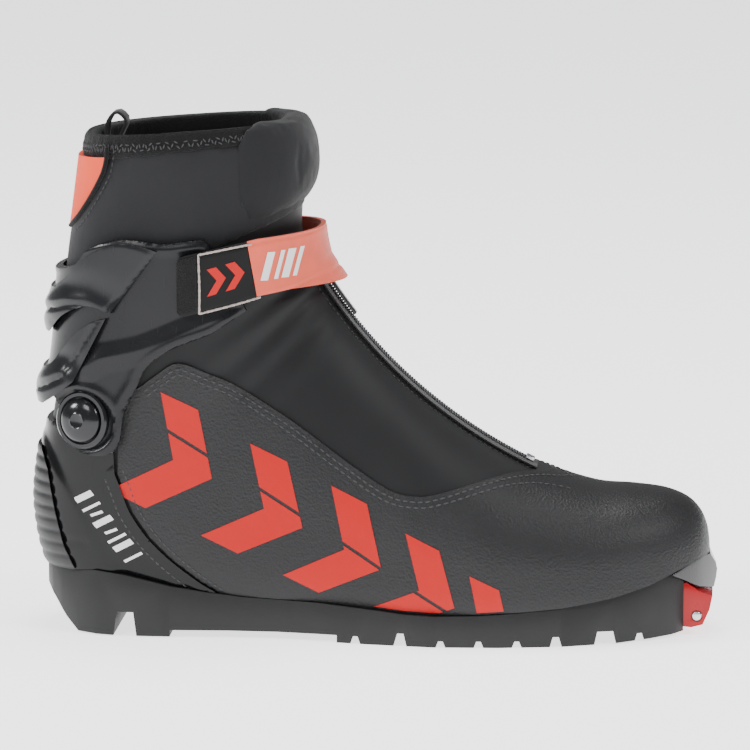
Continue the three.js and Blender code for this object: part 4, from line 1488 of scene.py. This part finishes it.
@dataclass
class Upper:
    """The soft upper: stretch cover, lining, and the leather vamp with its seams and marks."""

    cover_thick: float = 2.0
    lining_gap: float = 2.3
    lining_thick: float = 1.9
    vamp_level: float = 1.5
    vamp_thick: float = 1.3
    mark_lift: float = 0.22
    slit: float = 1.5
    blend_from: tuple[float, float, float] = (-24.0, 0.0, 148.0)
    blend_way: tuple[float, float, float] = (-0.42, 0.0, 0.91)
    blend_length: float = 22.0

    @property
    def vamp_line(self) -> Outline:
        """The vamp's outline."""
        front = [(x + 1.1, z) for x, z in COUNTER_FRONT]
        top = rounded([(-98.6, 96.0), *VAMP_EDGE], 4)
        return Outline(tuple([*top, (84.0, 90.0), (150.0, 90.0), (150.0, 0.0), (-59.0, 0.0), *front]))

    def build(self) -> None:
        """Builds and dresses every piece of the upper."""
        self._cover()
        self._vamp()
        self._marks()
        self._seams()

    def _cover(self) -> None:
        """The stretch cover and the lining inside it, left on no body."""

        def folds(place: np.ndarray, turn: np.ndarray, base: np.ndarray) -> np.ndarray:
            """Soft folds where the ankle bends."""
            bend = np.exp(-(((place - 13.6) / 1.8) ** 2))
            flank = np.exp(-((np.abs(np.sin(turn)) - 0.62) ** 2) / 0.16)
            return 0.05 + 0.55 * bend * np.sin(place * 6.4 + 1.1 * np.cos(turn * 2)) * flank

        cover = Shell("cover", folds, self.cover_thick, last=17.7, around=132, rows=170,
                      keep=(ABOVE_SEAT,)).build()
        Workshop.dress(cover, SOFTSHELL, None, "softshell",
                       ("softshell_cover", "front_gusset", "rear_gusset"))
        lining = Shell("lining", -self.lining_gap, self.lining_thick, first=0.3, last=18.56, around=96,
                       rows=110, keep=(above_seat(3.0),)).build()
        Workshop.dress(lining, LINING_KNIT, None, "lining", ("lining_foot", "lining_shaft"))
        for piece in (cover, lining):
            start = Vector(SKIN.to_frame(np.array([self.blend_from]))[0])
            end = start + Vector(self.blend_way).normalized() * self.blend_length * MM
            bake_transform(piece)

    def _vamp(self) -> None:
        """The leather vamp with a turned edge."""
        edge = self.vamp_line
        level = soft_edge(edge, self.vamp_level, 1.6, 0.7)
        vamp = Shell("vamp_leather_cover", level, self.vamp_thick, last=15.2, around=150, rows=190,
                     keep=(ABOVE_SEAT, edge)).build()
        Workshop.dress(vamp, VAMP_LEATHER, Body.FOOT, "vamp_leather", ("vamp_overlay",))

    def _marks(self) -> None:
        """Five bold slanted chevrons, slit through, on the outer side."""
        line = np.array([0.902, -0.431])
        up = np.array([0.47, 0.883])
        slit = Outline(((-100.0, 97.6), (60.0, -3.0), (60.0, -3.0 - self.slit), (-100.0, 97.6 - self.slit)))
        marks = [(-77.0, 72.0, 34.0, 45.0), (-41.0, 53.0, 34.0, 42.0), (-9.0, 37.5, 33.0, 41.0),
                 (21.0, 22.5, 31.0, 36.0), (45.0, 8.0, 27.0, 34.0)]
        made = []
        for index, (x, z, width, height) in enumerate(marks):
            shape = [(-0.5, -0.5), (-0.02, -0.5), (0.5, 0.0), (-0.02, 0.5), (-0.5, 0.5), (0.0, 0.0)]
            spots = [tuple(np.array([x, z]) + line * u * width + up * v * height) for u, v in shape]
            level = self.vamp_level + self.mark_lift
            made.append(Patch(f"mark_{index}", tuple(spots), Side.OUTER, level, 0.5,
                              keep=(above_seat(1.2),), drop=(slit,), spacing=1.1).build())
        marks_piece = Workshop.join("side_marks", made)
        Workshop.dress(marks_piece, RED_INK, Body.FOOT, "vamp_leather")

    def _seams(self) -> None:
        """The double row along the vamp's top edge and the rows beside the zip."""
        rows = []
        top = rounded(VAMP_EDGE, 8)
        for side in Side:
            for inset in (2.3, 4.4):
                rows.append(Seam("row").along(inset_line(top, inset), side, self.vamp_level + 0.1))
            front = [(x + 3.6, z + 1.2) for x, z in rounded(COUNTER_FRONT, 6)]
            rows.append(Seam("row", 2.6, 1.9, 0.3).along(front, side, self.vamp_level + 0.1))
        Workshop.dress(Workshop.join("vamp_stitches", rows), GREY_THREAD, Body.FOOT, "vamp_leather")
        rows = []
        place = np.linspace(7.0, 14.6, 160)
        sizes = SKIN.loops(place)
        for side in Side:
            turn = np.arcsin(np.clip(8.6 / sizes[:, 4], 0, 1) ** (sizes[:, 6] / 2)) * -side.value
            line = SKIN.offset(place, turn, 0.15)
            rows.append(Seam("row", 2.4, 1.8, 0.26).build(line, SKIN.normal(place, turn)))
        Workshop.dress(Workshop.join("zip_stitches", rows), BLACK_THREAD, Body.FOOT, "softshell")


@dataclass
class Heel:
    """The moulded heel: counter, ribbed guard, stitches and ticks."""

    level: float = 2.5
    thick: float = 2.2
    guard_level: float = 4.5
    guard_thick: float = 1.7
    rib_pitch: float = 42.0 / 9
    rib_from: float = 30.0
    ticks: tuple[tuple[float, float, float], ...] = (
        (0.0, 8.0, 2.6), (5.0, 8.0, 1.2), (8.4, 5.0, 1.2), (12.4, 8.0, 2.6), (17.4, 5.0, 1.2),
        (21.0, 8.0, 1.2), (24.8, 8.0, 2.6), (31.0, 8.0, 1.2),
    )

    def build(self) -> None:
        """Builds and dresses the heel's pieces."""
        line = Outline(tuple([*rounded(COUNTER_FRONT, 4), *COUNTER_BACK]))

        def face(place: np.ndarray, turn: np.ndarray, base: np.ndarray) -> np.ndarray:
            """A turned edge, a stitched channel along the front and a raised facet."""
            flat = base[:, [0, 2]]
            away = soft_edge(line, self.level, 1.4, 0.6)(place, turn, base)
            front = line_distance(flat, COUNTER_FRONT)
            channel = np.exp(-(((front - 4.0) / 0.9) ** 2)) * 0.45
            facet = smooth_step((flat[:, 0] + 112.0 + 0.55 * (flat[:, 1] - 50.0)) / -3.0) * 0.7
            slot = np.exp(-((flat[:, 1] - 38.0) / 1.1) ** 2) * smooth_step((-109.0 - flat[:, 0]) / 3.0)
            return away - channel + facet * smooth_step(line.distance(flat) / 3.0) - 0.6 * slot

        counter = Shell("heel_counter_shell", face, self.thick, first=9.0, last=15.6, around=180, rows=150,
                        keep=(ABOVE_SEAT, line)).build()
        Workshop.dress(counter, COUNTER_PLASTIC, Body.FOOT, "counter_plastic", ("heel_counter",))

        def ribs(place: np.ndarray, turn: np.ndarray, base: np.ndarray) -> np.ndarray:
            """Rounded ribs up the back of the heel."""
            phase = (base[:, 2] - self.rib_from) / self.rib_pitch
            return self.guard_level - 0.75 + 0.75 * np.abs(np.cos(phase * math.pi)) ** 0.6

        guard = Shell("heel_guard_shell", ribs, self.guard_thick, first=10.5, last=15.4, around=190,
                      rows=230, turns=(math.pi * 0.5, math.pi * 1.5),
                      keep=(Outline(GUARD_LINE), above_seat(0.6))).build()
        Workshop.dress(guard, GUARD_RUBBER, Body.FOOT, "guard_rubber", ("heel_guard",), 50.0)
        rows = []
        for side in Side:
            front = inset_line(rounded(COUNTER_FRONT, 8), -4.0)
            rows.append(Seam("row", 2.8, 2.1, 0.34).along(front, side, self.level - 0.3))
        Workshop.dress(Workshop.join("counter_stitches", rows), GREY_THREAD, Body.FOOT, "counter_plastic")
        self._ticks()

    def _ticks(self) -> None:
        """White ticks down the counter's outer side."""
        run, across = np.array([0.64, -0.77]), np.array([0.77, 0.64])
        made = []
        for index, (where, tall, wide) in enumerate(self.ticks):
            centre = np.array([-113.2, 56.2]) + run * where
            spots = [tuple(centre + run * a * wide / 2 + across * b * tall / 2 + run * b * 0.8)
                     for a, b in ((-1, -1), (1, -1), (1, 1), (-1, 1))]
            made.append(Patch(f"tick_{index}", tuple(spots), Side.OUTER, self.level + 0.2, 0.6,
                              spacing=0.8).build())
        Workshop.dress(Workshop.join("counter_ticks", made), WHITE_INK, Body.FOOT, "counter_plastic")


@dataclass
class Sole:
    """The outsole with its toe bumper, bar holder and bar."""

    edge: float = 0.7

    def build(self) -> None:
        """Builds and dresses the sole's pieces."""
        outsole = Workshop.copy_node("outsole_rubber", "outsole", self.edge, 2)
        Workshop.dress(outsole, SOLE_RUBBER, Body.FOOT, "sole_rubber", ("outsole",))
        bumper = Workshop.copy_node("bumper_cap", "toe_bumper", 0.9, 3, 25.0)
        Workshop.dress(bumper, BUMPER_PLASTIC, Body.FOOT, "bumper_plastic", ("toe_bumper",))
        holder = Workshop.copy_node("bar_holder", "toe_bar_holder", 0.6, 3, 25.0)
        Workshop.dress(holder, RED_PLASTIC, Body.FOOT, "red_plastic", ("toe_bar_holder",))
        bar = Workshop.copy_node("bar_pin", "toe_bar", 0.3, 2)
        Workshop.dress(bar, STEEL, Body.FOOT, "steel", ("toe_bar",))


@dataclass
class Cuff:
    """The hinged plastic cuff: shell, two swept wings, and the hinge caps in their rings."""

    level: float = 5.3
    thick: float = 2.2
    wing_level: float = 7.6
    wing_thick: float = 2.0
    cap_radius: float = 8.75
    cap_height: float = 3.6
    ring_radius: float = 11.6
    ridge: tuple[Pair, ...] = (
        (-122.0, 101.0), (-113.9, 105.2), (-103.5, 112.3), (-88.6, 116.5), (-72.0, 124.0), (-58.0, 130.0),
    )

    def build(self) -> None:
        """Builds and dresses the cuff's pieces."""
        self._shell()
        self._wing("upper_wing_blade", UPPER_WING, "upper_wing", 1.5)
        self._wing("lower_wing_blade", LOWER_WING, "lower_wing", 1.2)
        for side in Side:
            self._cap(side)

    def _shell(self) -> None:
        """The shell, with raised lips, a ridge along the arm and a recess at the hinge."""
        line = Outline(tuple([*rounded(CUFF_TOP, 4), CUFF_CORNER, *rounded(CUFF_ARM, 4)]))

        def face(place: np.ndarray, turn: np.ndarray, base: np.ndarray) -> np.ndarray:
            """The offset with lips, ridge and recess."""
            flat = base[:, [0, 2]]
            from_edge = line.distance(flat)
            away = soft_edge(line, self.level, 1.3, 0.8)(place, turn, base)
            lip = np.exp(-(((from_edge - 2.4) / 1.5) ** 2)) * 0.7
            from_hinge = np.linalg.norm(flat - np.array(HINGE), axis=1)
            ridge = np.clip(1 - line_distance(flat, self.ridge) / 6.0, 0, 1) * 1.1
            ridge = ridge * smooth_step((from_hinge - 13.0) / 5.0)
            recess = smooth_step((self.ring_radius + 1.2 - from_hinge) / 1.4) * 0.9
            rim = np.exp(-(((from_hinge - self.ring_radius - 1.8) / 1.2) ** 2)) * 0.6
            return away + lip * smooth_step((from_hinge - 12.0) / 4.0) + ridge + rim - recess

        shell = Shell("cuff_shell_moulding", face, self.thick, first=11.2, last=18.2, around=230, rows=200,
                      keep=(line,)).build()
        Workshop.dress(shell, CUFF_PLASTIC, Body.CUFF, "cuff_plastic", ("cuff_shell",), 50.0)

    def _wing(self, name: str, blade: Blade, node: str, flare: float) -> None:
        """A swept blade over the cuff, standing off along its lower edge.

        Args:
            name: the piece's name.
            blade: its side-view outline.
            node: the CAD node it stands for.
            flare: how far its lower edge stands off.
        """
        line = Outline(tuple([*rounded(blade.top, 4), *blade.corners, *rounded(blade.low, 4)]))

        def face(place: np.ndarray, turn: np.ndarray, base: np.ndarray) -> np.ndarray:
            """The offset with a rolled lip and a hollow behind it."""
            flat = base[:, [0, 2]]
            away = soft_edge(line, self.wing_level, 1.2, 0.8)(place, turn, base)
            from_low = line_distance(flat, blade.low)
            back = smooth_step((-104.0 - flat[:, 0]) / 22.0)
            lip = np.exp(-(((from_low - 2.2) / 2.6) ** 2)) * flare
            hollow = np.exp(-(((from_low - 9.0) / 4.0) ** 2)) * 0.7
            return away + (lip - hollow) * (0.35 + 0.65 * back)

        wing = Shell(name, face, self.wing_thick, first=12.0, last=18.2, around=220, rows=180,
                     turns=(0.35, 2 * math.pi - 0.35), keep=(line,)).build()
        Workshop.dress(wing, WING_PLASTIC, Body.CUFF, "cuff_plastic", (node,), 50.0)

    def _cap(self, side: Side) -> None:
        """A spun cap and its ring at one side's hinge.

        Args:
            side: the boot's side.
        """
        points, normals = SKIN.on_side([HINGE], side, self.level - 0.6)
        seat, up = Vector(SKIN.to_frame(points)[0]), Vector(normals[0])
        high, wide = self.cap_height + 0.6, self.cap_radius
        dome = [(0.0, high - 0.25), (wide * 0.28, high - 0.3), (wide * 0.34, high - 0.05)]
        dome += [(wide * math.cos(a), 1.0 + (high - 1.0) * math.sin(a)) for a in np.linspace(1.18, 0.0, 14)]
        dome += [(wide, 0.2), (wide - 0.8, -0.6)]
        cap = spun(f"hinge_dome_{side.name.lower()}", dome, seat, up, 64)
        Workshop.dress(cap, CAP_PLASTIC, Body.CUFF, "cap_plastic", (f"hinge_cap_{side.name.lower()}",))
        outer, inner = self.ring_radius, wide + 0.4
        ring = [(inner, -0.8), (inner, 0.5), (inner + 0.5, 0.9), (outer - 0.7, 0.9), (outer, 0.2),
                (outer, -0.8), (inner, -0.8)]
        made = spun(f"hinge_bezel_{side.name.lower()}", ring, seat, up, 64)
        Workshop.dress(made, CAP_PLASTIC, Body.CUFF, "cap_plastic", (f"hinge_ring_{side.name.lower()}",))


@dataclass
class Shaft:
    """The padded shaft above the cuff: collar, tongue pad, binding, back panel, pull loop."""

    collar_level: float = 0.9
    collar_thick: float = 2.8
    collar_voxel: float = 1.7
    collar_cap: float = 0.6
    rim_place: float = 18.62
    binding_centre: float = 18.81
    binding_half: float = 0.23
    binding_reach: float = 2.9
    panel_level: float = 2.5
    panel_thick: float = 2.2
    pad_line: tuple[Pair, ...] = (
        (-48, 168), (-51.5, 180), (-51.5, 194), (-48.5, 201.5), (-43, 205.6), (-34, 207.2), (-20, 208),
        (-5, 206), (-5, 160), (-40, 160),
    )
    pad_bulge: float = 6.2
    pad_sink: float = -2.2
    pad_thick: float = 5.4
    pad_voxel: float = 2.0
    pad_pressure: float = 4.0
    pad_cap: float = 2.0

    def build(self) -> None:
        """Builds and dresses the shaft's pieces."""
        self._collar()
        self._tongue()
        self._binding()
        self._panel()
        loop = Workshop.copy_node("pull_tape", "pull_loop", 0.2, 2, 50.0)
        chart_by_box(loop)
        Workshop.dress(loop, LOOP_WEBBING, Body.CUFF, "binding", ("pull_loop",))

    def _collar(self) -> None:
        """The knit-faced foam collar, swelling between its seams."""
        low = tuple((x, wedge_line(x)) for x in (-20.0, -140.0))
        region = Outline((low[0], low[1], (-140.0, 260.0), (-20.0, 260.0)))

        def swell(place: np.ndarray, turn: np.ndarray, base: np.ndarray) -> np.ndarray:
            """The foam's swelling, less at the rim and the lower edge."""
            near = np.clip((self.rim_place + 0.05 - place) / 0.35, 0, 1)
            low_edge = np.clip((base[:, 2] - wedge_line(base[:, 0])) / 4.0, 0, 1)
            ripple = 0.25 * np.sin(turn * 5 + place * 2.1) * near
            return self.collar_level * np.sqrt(near) * (0.3 + 0.7 * np.sqrt(low_edge)) + ripple

        collar = Shell("collar_foam", swell, self.collar_thick, first=15.4, last=self.rim_place,
                       around=150, rows=60, keep=(region,)).build()
        plump(collar, self.collar_voxel, self.pad_pressure, self.collar_cap)
        chart_by_box(collar)
        Workshop.dress(collar, COLLAR_KNIT, Body.CUFF, "neoprene", ("collar",))

    def _tongue(self) -> None:
        """The puffy pad at the front of the rim, sunk into the collar at its edges."""
        first, last, half = 16.9, 19.14, 1.3

        def bulge(place: np.ndarray, turn: np.ndarray, base: np.ndarray) -> np.ndarray:
            """A pillow over the front, fullest near the rim."""
            up = np.clip((place - first) / (last - first), 0, 1)
            tall = np.clip(1 - np.abs(up - 0.66) / np.where(up > 0.66, 0.34, 0.66), 0, 1)
            round_it = np.clip(1 - np.abs(turn) / half, 0, 1)
            swell = np.clip(tall * (2 - tall), 0, 1) ** 0.55 * np.clip(round_it * (2 - round_it), 0, 1) ** 0.9
            return self.pad_sink + (self.pad_bulge - self.pad_sink) * swell

        region = Outline(self.pad_line)
        pad = Shell("tongue_cushion", bulge, self.pad_thick, first=first, last=last, around=80, rows=60,
                    turns=(-half, half), keep=(region,)).build()
        plump(pad, self.pad_voxel, self.pad_pressure, self.pad_cap)
        chart_by_box(pad)
        Workshop.dress(pad, TONGUE_KNIT, Body.CUFF, "neoprene", ("tongue_pad",), 70.0)

    def _binding(self) -> None:
        """The rolled binding round the rim, with its zigzag row."""
        mesh = Workshop.grid(170, 22, (0.0, 230.0), (0.0, 26.0))
        turn, roll = Workshop.shares(mesh) * 2 * math.pi
        up, out = (np.sign(wave) * np.abs(wave) ** 0.7 for wave in (np.sin(roll), np.cos(roll)))
        place = np.clip(self.binding_centre + up * self.binding_half, 18.0, 19.05)

        def reach(place: np.ndarray, turn: np.ndarray, base: np.ndarray) -> np.ndarray:
            """The roll's offset, slightly uneven along the rim."""
            return -1.9 + out * self.binding_reach + 0.12 * np.sin(turn * 47)

        Workshop.form(mesh, SKIN.to_frame(SKIN.offset(place, turn, reach)))
        band = Workshop.keep("rim_binding", mesh)
        Workshop.dress(band, BINDING_PILE, Body.CUFF, "binding", ("collar_binding",), 70.0)
        steps = np.linspace(0.62, 2 * math.pi - 0.62, 330)
        swing = np.sign(np.sin(np.arange(len(steps)) * math.pi / 2 + 0.4))
        zigzag = self.binding_centre - 0.06 + 0.05 * swing
        line = SKIN.offset(zigzag, steps, 1.12)
        row = Seam("binding_stitches", 2.2, 1.9, 0.28).build(line, SKIN.normal(zigzag, steps))
        Workshop.dress(row, GREY_THREAD, Body.CUFF, "binding")

    def _panel(self) -> None:
        """The bright back panel, with piping down both its front edges."""
        edge = inset_line(rounded(PANEL_FRONT, 4), 1.1)
        region = Outline(tuple([*edge, (-140.0, 160.0), (-140.0, 206.0)]))
        panel = Shell("back_panel_knit", self.panel_level, self.panel_thick, first=16.0,
                      last=self.rim_place, around=90, rows=60,
                      turns=(math.pi * 0.55, math.pi * 1.45), keep=(region,)).build()
        Workshop.dress(panel, CORAL_PANEL, Body.CUFF, "coral_fabric", ("back_panel",))
        cords, rows = [], []
        for side in Side:
            spots = [s for s in rounded(PANEL_FRONT, 10) if s[1] < 196.6]
            points, normals = SKIN.on_side(inset_line(spots, -0.9), side, self.panel_level - 0.3)
            cords.append(tube("cord", SKIN.to_frame(points), 0.9 * MM))
            points, normals = SKIN.on_side(inset_line(spots, -3.3), side, self.collar_level + 0.7)
            rows.append(Seam("row", 2.6, 1.9, 0.28).build(points, normals))
        Workshop.dress(Workshop.join("panel_piping", cords), BINDING_PILE, Body.CUFF, "binding")
        Workshop.dress(Workshop.join("panel_stitches", rows), BLACK_THREAD, Body.CUFF, "binding")


@dataclass
class Strap:
    """The strap over the instep: coral webbing, coated end tab, hook edge and rivet."""

    level: float = 8.5
    thick: float = 1.8
    lift_high: float = 1.6
    lift_low: float = 0.9
    lift_place: float = 14.2

    def away(self, extra: float) -> Away:
        """The strap's offset, standing off the skin at the front.

        Args:
            extra: a distance above its face.

        Returns:
            The offset as a function.
        """
        line = Outline(STRAP_LINE)

        def reach(place: np.ndarray, turn: np.ndarray, base: np.ndarray) -> np.ndarray:
            """The offset with a thinned, woven edge."""
            rise = np.clip((place - self.lift_place) / 2, 0, 1)
            front = np.maximum(np.cos(turn), 0) ** 1.5
            edge = np.clip(line.distance(base[:, [0, 2]]) / 1.4, 0, 1)
            return (self.level + extra + front * (self.lift_high * rise + self.lift_low * (1 - rise))
                    - 0.45 * (1 - edge) + 0.12 * np.sin(place * 3 + turn * 2))

        return reach

    def build(self) -> None:
        """Builds and dresses the strap's pieces."""
        line = Outline(STRAP_LINE)
        tab = Outline(((-42.2, 130.0), (-48.2, 166.0), (-150.0, 166.0), (-150.0, 120.0)), high_y=0.0)
        gap = Outline(((-41.9, 130.0), (-47.9, 166.0), (-150.0, 166.0), (-150.0, 120.0)), high_y=0.0)
        base = dict(first=12.6, last=18.4, around=190, rows=120, turns=(-1.95, 1.95))
        front = Shell("strap_webbing", self.away(0.0), self.thick, keep=(line,), drop=(gap,), **base).build()
        Workshop.dress(front, CORAL_WEBBING, Body.CUFF, "coral_webbing", ("strap_front",))
        end = Shell("strap_tab_end", self.away(0.0), self.thick, keep=(line, tab), **base).build()
        Workshop.dress(end, TAB_COATING, Body.STRAP_TAB, "strap_print", ("strap_end",))
        hook_line = Outline(((-74.4, 131.4), (-66.6, 133.2), (-66.6, 154.4), (-74.4, 152.4)), high_y=0.0)
        hook = Shell("hook_face", self.away(0.55), 0.7, keep=(line, hook_line), **base).build()
        Workshop.dress(hook, HOOK_PILE, Body.STRAP_TAB, "hook_and_loop")
        under = Workshop.copy_node("hook_underside", "hook_patch", 0.1, 1, 50.0)
        Workshop.dress(under, HOOK_PILE, Body.STRAP_TAB, "hook_and_loop", ("hook_patch",))
        loop = Workshop.copy_node("loop_field", "loop_patch", 0.1, 1, 50.0)
        Workshop.dress(loop, HOOK_PILE, Body.CUFF, "hook_and_loop", ("loop_patch",))
        self._edging()
        self._print()
        self._rivet()

    def _edging(self) -> None:
        """Pale, frayed edges round the tab."""
        upper = [(-66.4, 155.2), (-58.0, 157.2), (-52.0, 158.6), (-48.6, 159.3)]
        lower = [(-66.4, 131.9), (-58.0, 134.2), (-50.0, 136.4), (-45.4, 137.7)]
        ends = [(-66.4, 131.9), (-66.2, 143.0), (-66.4, 155.2)]
        cords = []
        for spots in (upper, lower, ends):
            place, turn = SKIN.locate(rounded(spots, 14), Side.OUTER)
            points = SKIN.offset(place, turn, self.away(0.12))
            cords.append(tube("cord", SKIN.to_frame(points), 0.42 * MM, 0.35))
        Workshop.dress(Workshop.join("tab_frayed_edge", cords), FRAYED_EDGE, Body.STRAP_TAB, "strap_print")

    def _print(self) -> None:
        """Two red chevrons on the tab and white slanted bars on the webbing."""
        made = []
        for index, x in enumerate((-62.4, -55.2)):
            shape = [(0, -5.4), (3.6, -5.4), (7.4, 0), (3.6, 5.4), (0, 5.4), (3.8, 0)]
            spots = tuple((x + a, 145.0 + 0.28 * (x + a + 58.0) + b) for a, b in shape)
            made.append(Patch(f"tab_mark_{index}", spots, Side.OUTER, self.away(0.2), 0.6,
                              spacing=0.7).build())
        Workshop.dress(Workshop.join("tab_marks", made), RED_INK, Body.STRAP_TAB, "strap_print")
        made = []
        for index, (x, wide) in enumerate(((-39.0, 2.8), (-34.6, 1.5), (-31.2, 2.8), (-27.6, 1.5))):
            bar = Outline(tuple((x + a * wide / 2 + b * 1.4, 150.2 + 0.1 * (x + 35) + b * 5.6)
                                for a, b in ((-1, -1), (1, -1), (1, 1), (-1, 1))), high_y=0.0)
            made.append(Shell(f"bar_{index}", self.away(0.2), 0.6, first=13.2, last=17.2, around=150, rows=90,
                              turns=(0.02, 1.7), keep=(bar,)).build())
        Workshop.dress(Workshop.join("strap_bars", made), WHITE_INK, Body.CUFF, "coral_webbing")

    def _rivet(self) -> None:
        """The rivet at the strap's fixed end on the inner side."""
        points, normals = SKIN.on_side([(-66.0, 144.0)], Side.INNER, self.level)
        seat, up = Vector(SKIN.to_frame(points)[0]), Vector(normals[0])
        profile = [(0.0, 1.7), (1.4, 1.9), (3.0, 1.8), (4.0, 1.2), (4.4, 0.5), (4.2, 0.1), (2.0, 0.0),
                   (2.0, -5.4)]
        rivet = spun("strap_rivet_head", profile, seat, up, 40)
        Workshop.dress(rivet, STEEL, Body.CUFF, "steel", ("strap_rivet",))


@dataclass
class Zip:
    """The zip over the instep: woven tape, two rows of teeth, slider, puller and stop."""

    tape_drop: float = 0.6
    tape_thick: float = 0.6
    tape_width: float = 15.0
    tape_length: float = 124.0
    coil_length: float = 122.0
    coil_lift: float = 0.75
    tooth_pitch: float = 1.25
    tooth_size: tuple[float, float, float] = (0.42, 0.95, 0.5)

    def build(self) -> None:
        """Builds and dresses the zip's pieces."""
        radius = CREST - self.tape_drop - self.tape_thick
        wide, long = self.tape_width / 2, self.tape_length / 2
        mesh = Workshop.grid(90, 14, (-long, long), (-wide, wide))
        for vert in mesh.verts:
            along, across = (vert.co.x + 0.5) * 0.992, vert.co.y * self.tape_width
            ridge = 0.25 * math.exp(-((abs(across) - 4.4) / 0.7) ** 2)
            x, z = ZIP.at(along, radius - ridge)
            vert.co = SKIN.to_frame(np.array([[x, across, z]]))[0]
        bmesh.ops.recalc_face_normals(mesh, faces=mesh.faces)
        if sum(f.normal.z for f in mesh.faces) < 0:
            bmesh.ops.reverse_faces(mesh, faces=mesh.faces)
        bmesh.ops.solidify(mesh, geom=mesh.faces[:], thickness=self.tape_thick * MM)
        tape = Workshop.keep("zip_tape_weave", mesh)
        Workshop.dress(tape, TAPE_WEAVE, Body.FOOT, "zip_tape", ("zip_tape",))
        self._teeth(radius)
        for name, node, finish, body, slot in (
            ("zip_slider_body", "zip_slider", STEEL, Body.SLIDER, "steel"),
            ("zip_puller_tab", "zip_puller", CAP_PLASTIC, Body.SLIDER, "steel"),
            ("zip_stop_clip", "zip_stop", STEEL, Body.FOOT, "steel"),
        ):
            made = Workshop.copy_node(name, node, 0.3, 3)
            Workshop.dress(made, finish, body, slot, (node,))

    def _teeth(self, radius: float) -> None:
        """The coil, as two rows of interlocking teeth.

        Args:
            radius: the tape's radius.
        """
        mesh = bmesh.new()
        count = int(self.coil_length / self.tooth_pitch)
        size = Matrix.Diagonal((*(half * MM for half in self.tooth_size), 1))
        for index in range(count):
            share = 0.05 + 0.93 * index / count
            x, z = ZIP.at(share, radius - self.coil_lift)
            ahead = ZIP.at(share + 0.01, radius - self.coil_lift)
            lean = math.atan2(ahead[1] - z, ahead[0] - x)
            for row in (-1, 1):
                spot = SKIN.to_frame(np.array([[x + 0.3 * row, 0.6 * row, z]]))[0]
                matrix = (Matrix.Translation(spot) @ Matrix.Rotation(-lean, 4, "Y")
                          @ Matrix.Rotation(0.35 * row, 4, "Z") @ size)
                bmesh.ops.create_uvsphere(mesh, u_segments=8, v_segments=5, radius=1.0, matrix=matrix)
        coil = Workshop.keep("zip_teeth", mesh)
        Workshop.dress(coil, COIL_PLASTIC, Body.FOOT, "zip_coil", ("zip_coil",))


@dataclass
class Inside:
    """What lies inside: footbed, lasting board and the hinge pins."""

    def build(self) -> None:
        """Builds the footbed and gives the hidden CAD pieces their finishes."""
        bed = Workshop.copy_node("footbed_felt_pad", "footbed", 1.2, 3, 40.0)
        chart_by_box(bed)
        Workshop.dress(bed, BED_FELT, Body.FOOT, "footbed_foam", ("footbed",))
        finishes = {"lasting_board": BOARD_FIBRE, "hinge_pin_outer": STEEL, "hinge_pin_inner": STEEL}
        for node, finish in finishes.items():
            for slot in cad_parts[node].material_slots:
                slot.link = "OBJECT"
                slot.material = finish.material()


@dataclass
class Studio:
    """The camera, the pale floor and the soft lights."""

    target: tuple[float, float, float] = (0.0, 0.0, 0.1014)
    distance: float = 2.0
    azimuth: float = 4.0
    elevation: float = 9.0
    lens: float = 240.0

    def build(self) -> None:
        """Builds the set."""
        camera = bpy.data.objects.new("camera", bpy.data.cameras.new("camera"))
        camera.data.lens = self.lens
        camera.data.sensor_width = 36.0
        turn, rise = math.radians(self.azimuth), math.radians(self.elevation)
        back = Vector((math.sin(turn) * math.cos(rise), -math.cos(turn) * math.cos(rise), math.sin(rise)))
        camera.location = Vector(self.target) + back * self.distance
        camera.rotation_euler = (-back).to_track_quat("-Z", "Y").to_euler()
        bpy.context.scene.collection.objects.link(camera)
        bpy.context.scene.camera = camera
        world = bpy.data.worlds.new("studio")
        bpy.context.scene.world = world
        world.use_nodes = True
        world.node_tree.nodes["Background"].inputs["Color"].default_value = (0.95, 0.955, 0.96, 1.0)
        world.node_tree.nodes["Background"].inputs["Strength"].default_value = 0.3
        mesh = bmesh.new()
        bmesh.ops.create_grid(mesh, x_segments=8, y_segments=8, size=30.0)
        floor = Workshop.keep("floor", mesh)
        paper = NodeSketch("paper")
        grain = paper.noise(40.0, 2.0)
        tone = paper.mix(grain, (0.87, 0.87, 0.872, 1.0), (0.89, 0.89, 0.892, 1.0))
        paper.shader.inputs["Emission Color"].default_value = (0.97, 0.975, 0.98, 1.0)
        paper.shader.inputs["Emission Strength"].default_value = 1.9
        floor.data.materials.append(paper.finish(tone, 0.9))
        self._light("key", (-0.9, -1.5, 1.35), 0.7, 15.0)
        self._light("toe", (1.25, -0.7, 1.3), 0.5, 17.0)
        self._light("top", (0.0, 0.3, 1.9), 0.8, 24.0)
        self._light("rear", (-1.6, -0.5, 0.9), 0.35, 16.0)

    def _light(self, name: str, spot: tuple[float, float, float], size: float, power: float) -> None:
        """A square soft light aimed at the boot.

        Args:
            name: its name.
            spot: where it stands.
            size: its width in metres.
            power: its power in watts.
        """
        lamp = bpy.data.lights.new(name, "AREA")
        lamp.shape = "SQUARE"
        lamp.size = size
        lamp.energy = power
        made = bpy.data.objects.new(name, lamp)
        made.location = spot
        made.rotation_euler = (Vector(self.target) - Vector(spot)).to_track_quat("-Z", "Y").to_euler()
        bpy.context.scene.collection.objects.link(made)


def main() -> None:
    """Builds every part of the boot in order."""
    logging.basicConfig(level=logging.INFO, format="%(message)s")
    for part in (Upper(), Heel(), Sole(), Cuff(), Shaft(), Strap(), Zip(), Inside(), Studio()):
        LOG.info("building %s", type(part).__name__.lower())
        part.build()


if __name__ == "__main__":
    main()
